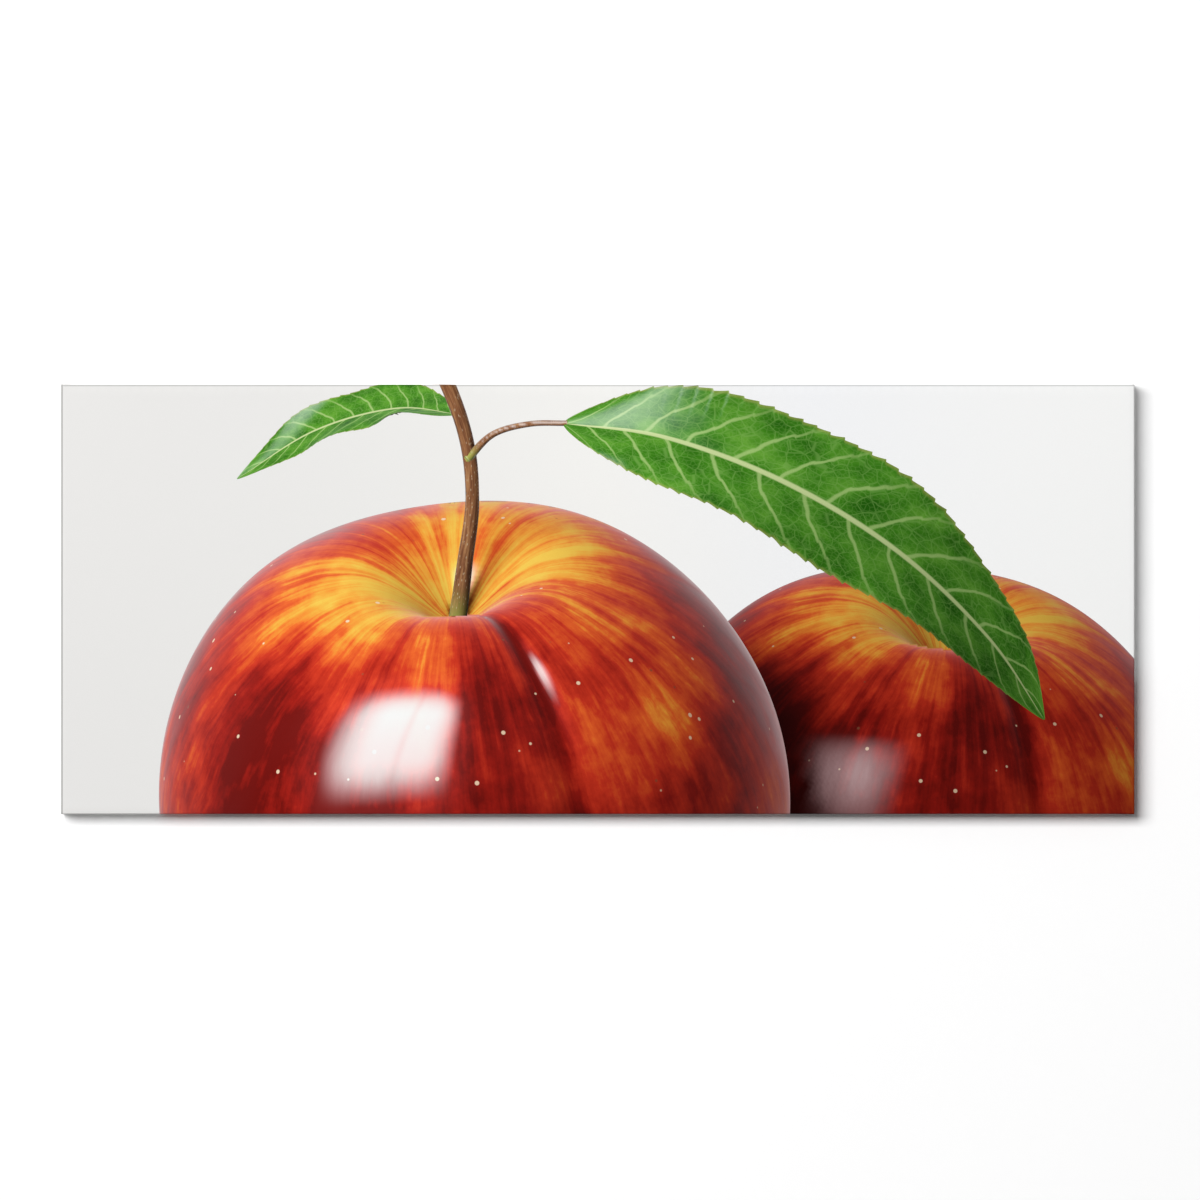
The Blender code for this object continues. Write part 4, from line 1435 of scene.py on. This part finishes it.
def metal(name, bright, dull, base_roughness, brushed):
    finish, tree, shader = new_finish(name, metallic=1.0)
    place = object_place(tree)
    patches = noise(tree, place, 700.0, 4.0, 0.65)
    scratches = noise(tree, scaled(tree, place, *brushed), 1.0, 2.0, 0.6)
    tarnish = smooth(tree, calc(tree, "MULTIPLY_ADD", scratches, 0.35, patches), 0.68, 0.98)
    coloured(tree, shader, mixed(tree, tarnish, bright, dull))
    rough = calc(tree, "MULTIPLY_ADD", tarnish, 0.28, base_roughness)
    tree.links.new(rough, shader.inputs["Roughness"])
    raised(tree, shader, scratches, 0.35, 0.00003)
    return finish


zinc = metal("zinc_coat", (0.40, 0.41, 0.43), (0.20, 0.205, 0.215), 0.30, (900.0, 900.0, 900.0))
brass = metal("brass_coat", (0.80, 0.53, 0.18), (0.42, 0.25, 0.09), 0.22, (120.0, 3200.0, 3200.0))
for name in nodes:
    if name.startswith("staple_"):
        dress(name, zinc)
    elif name.startswith(("hanger_", "nail_")):
        dress(name, brass)
print("metal nodes dressed")

# %% [markdown]
# ## Felt bumpers
# Two small felt dots keep the lower edge off the wall. Pressed felt has a soft rounded rim and a
# fibrous face, so each dot is a disc turned from a rounded profile, with its face pushed in and
# out a little by chance, seeded so that it is the same every time.

# %% Felt bumpers
FELT_ROUNDS = 48
FELT_SOFT = 0.0007
FELT_RIM = 0.0002
FELT_WEAR, FELT_DENTS = 0.00004, 0.00003

felt, tree, shader = new_finish("grey_felt", roughness=0.95, specular=0.1)
shader.inputs["Sheen Weight"].default_value = 0.5
shader.inputs["Sheen Roughness"].default_value = 0.5
place = object_place(tree)
tangle = noise(tree, place, 2600.0, 5.0, 0.7)
wool = ramp(
    tree,
    tangle,
    (0.30, (0.24, 0.235, 0.225)),
    (0.50, (0.47, 0.46, 0.44)),
    (0.72, (0.72, 0.71, 0.68)),
)
coloured(tree, shader, wool)
raised(tree, shader, tangle, 0.8, 0.0003)

chance = np.random.default_rng(11)


def felt_dot(node_name):
    """A pressed felt disc that fills the place of its plain solid."""
    low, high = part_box(node_name)
    middle = (low + high) / 2
    radius, front, back = (high.x - low.x) / 2, low.y, high.y
    profile = [(0.0, front), (radius - FELT_RIM, front)]
    profile += [
        (radius - FELT_SOFT * (1 - math.cos(t)), back - FELT_SOFT * (1 - math.sin(t)))
        for t in np.linspace(0, math.pi / 2, 6)
    ]
    profile += [(r * radius, back) for r in (0.75, 0.5, 0.25)] + [(0.0, back)]
    bm = bmesh.new()
    rings = []
    for reach, depth in profile:
        if reach == 0:
            rings.append([bm.verts.new((middle.x, depth, middle.z))])
            continue
        ring = []
        for k in range(FELT_ROUNDS):
            angle = 2 * math.pi * k / FELT_ROUNDS
            worn = reach - abs(chance.normal(0, FELT_WEAR))
            inward = abs(chance.normal(0, FELT_DENTS)) if depth > front else 0.0
            place = (middle.x + worn * math.cos(angle), depth - inward, middle.z + worn * math.sin(angle))
            ring.append(bm.verts.new(place))
        rings.append(ring)
    for one, other in zip(rings, rings[1:]):
        for k in range(FELT_ROUNDS):
            after = (k + 1) % FELT_ROUNDS
            near = [one[k % len(one)], other[k % len(other)]]
            far = [other[after % len(other)], one[after % len(one)]]
            bm.faces.new(list(dict.fromkeys(near + far)))
    bmesh.ops.recalc_face_normals(bm, faces=bm.faces)
    mesh = bpy.data.meshes.new("felt_" + node_name)
    bm.to_mesh(mesh)
    bm.free()
    mesh.shade_smooth()
    mesh.materials.append(felt)
    dot = placed("felt_" + node_name, mesh)
    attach(dot, "root")
    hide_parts(node_name)
    return dot


felt_dots = [felt_dot(name) for name in ("pad_left", "pad_right")]
print("felt:", [dot.name for dot in felt_dots])
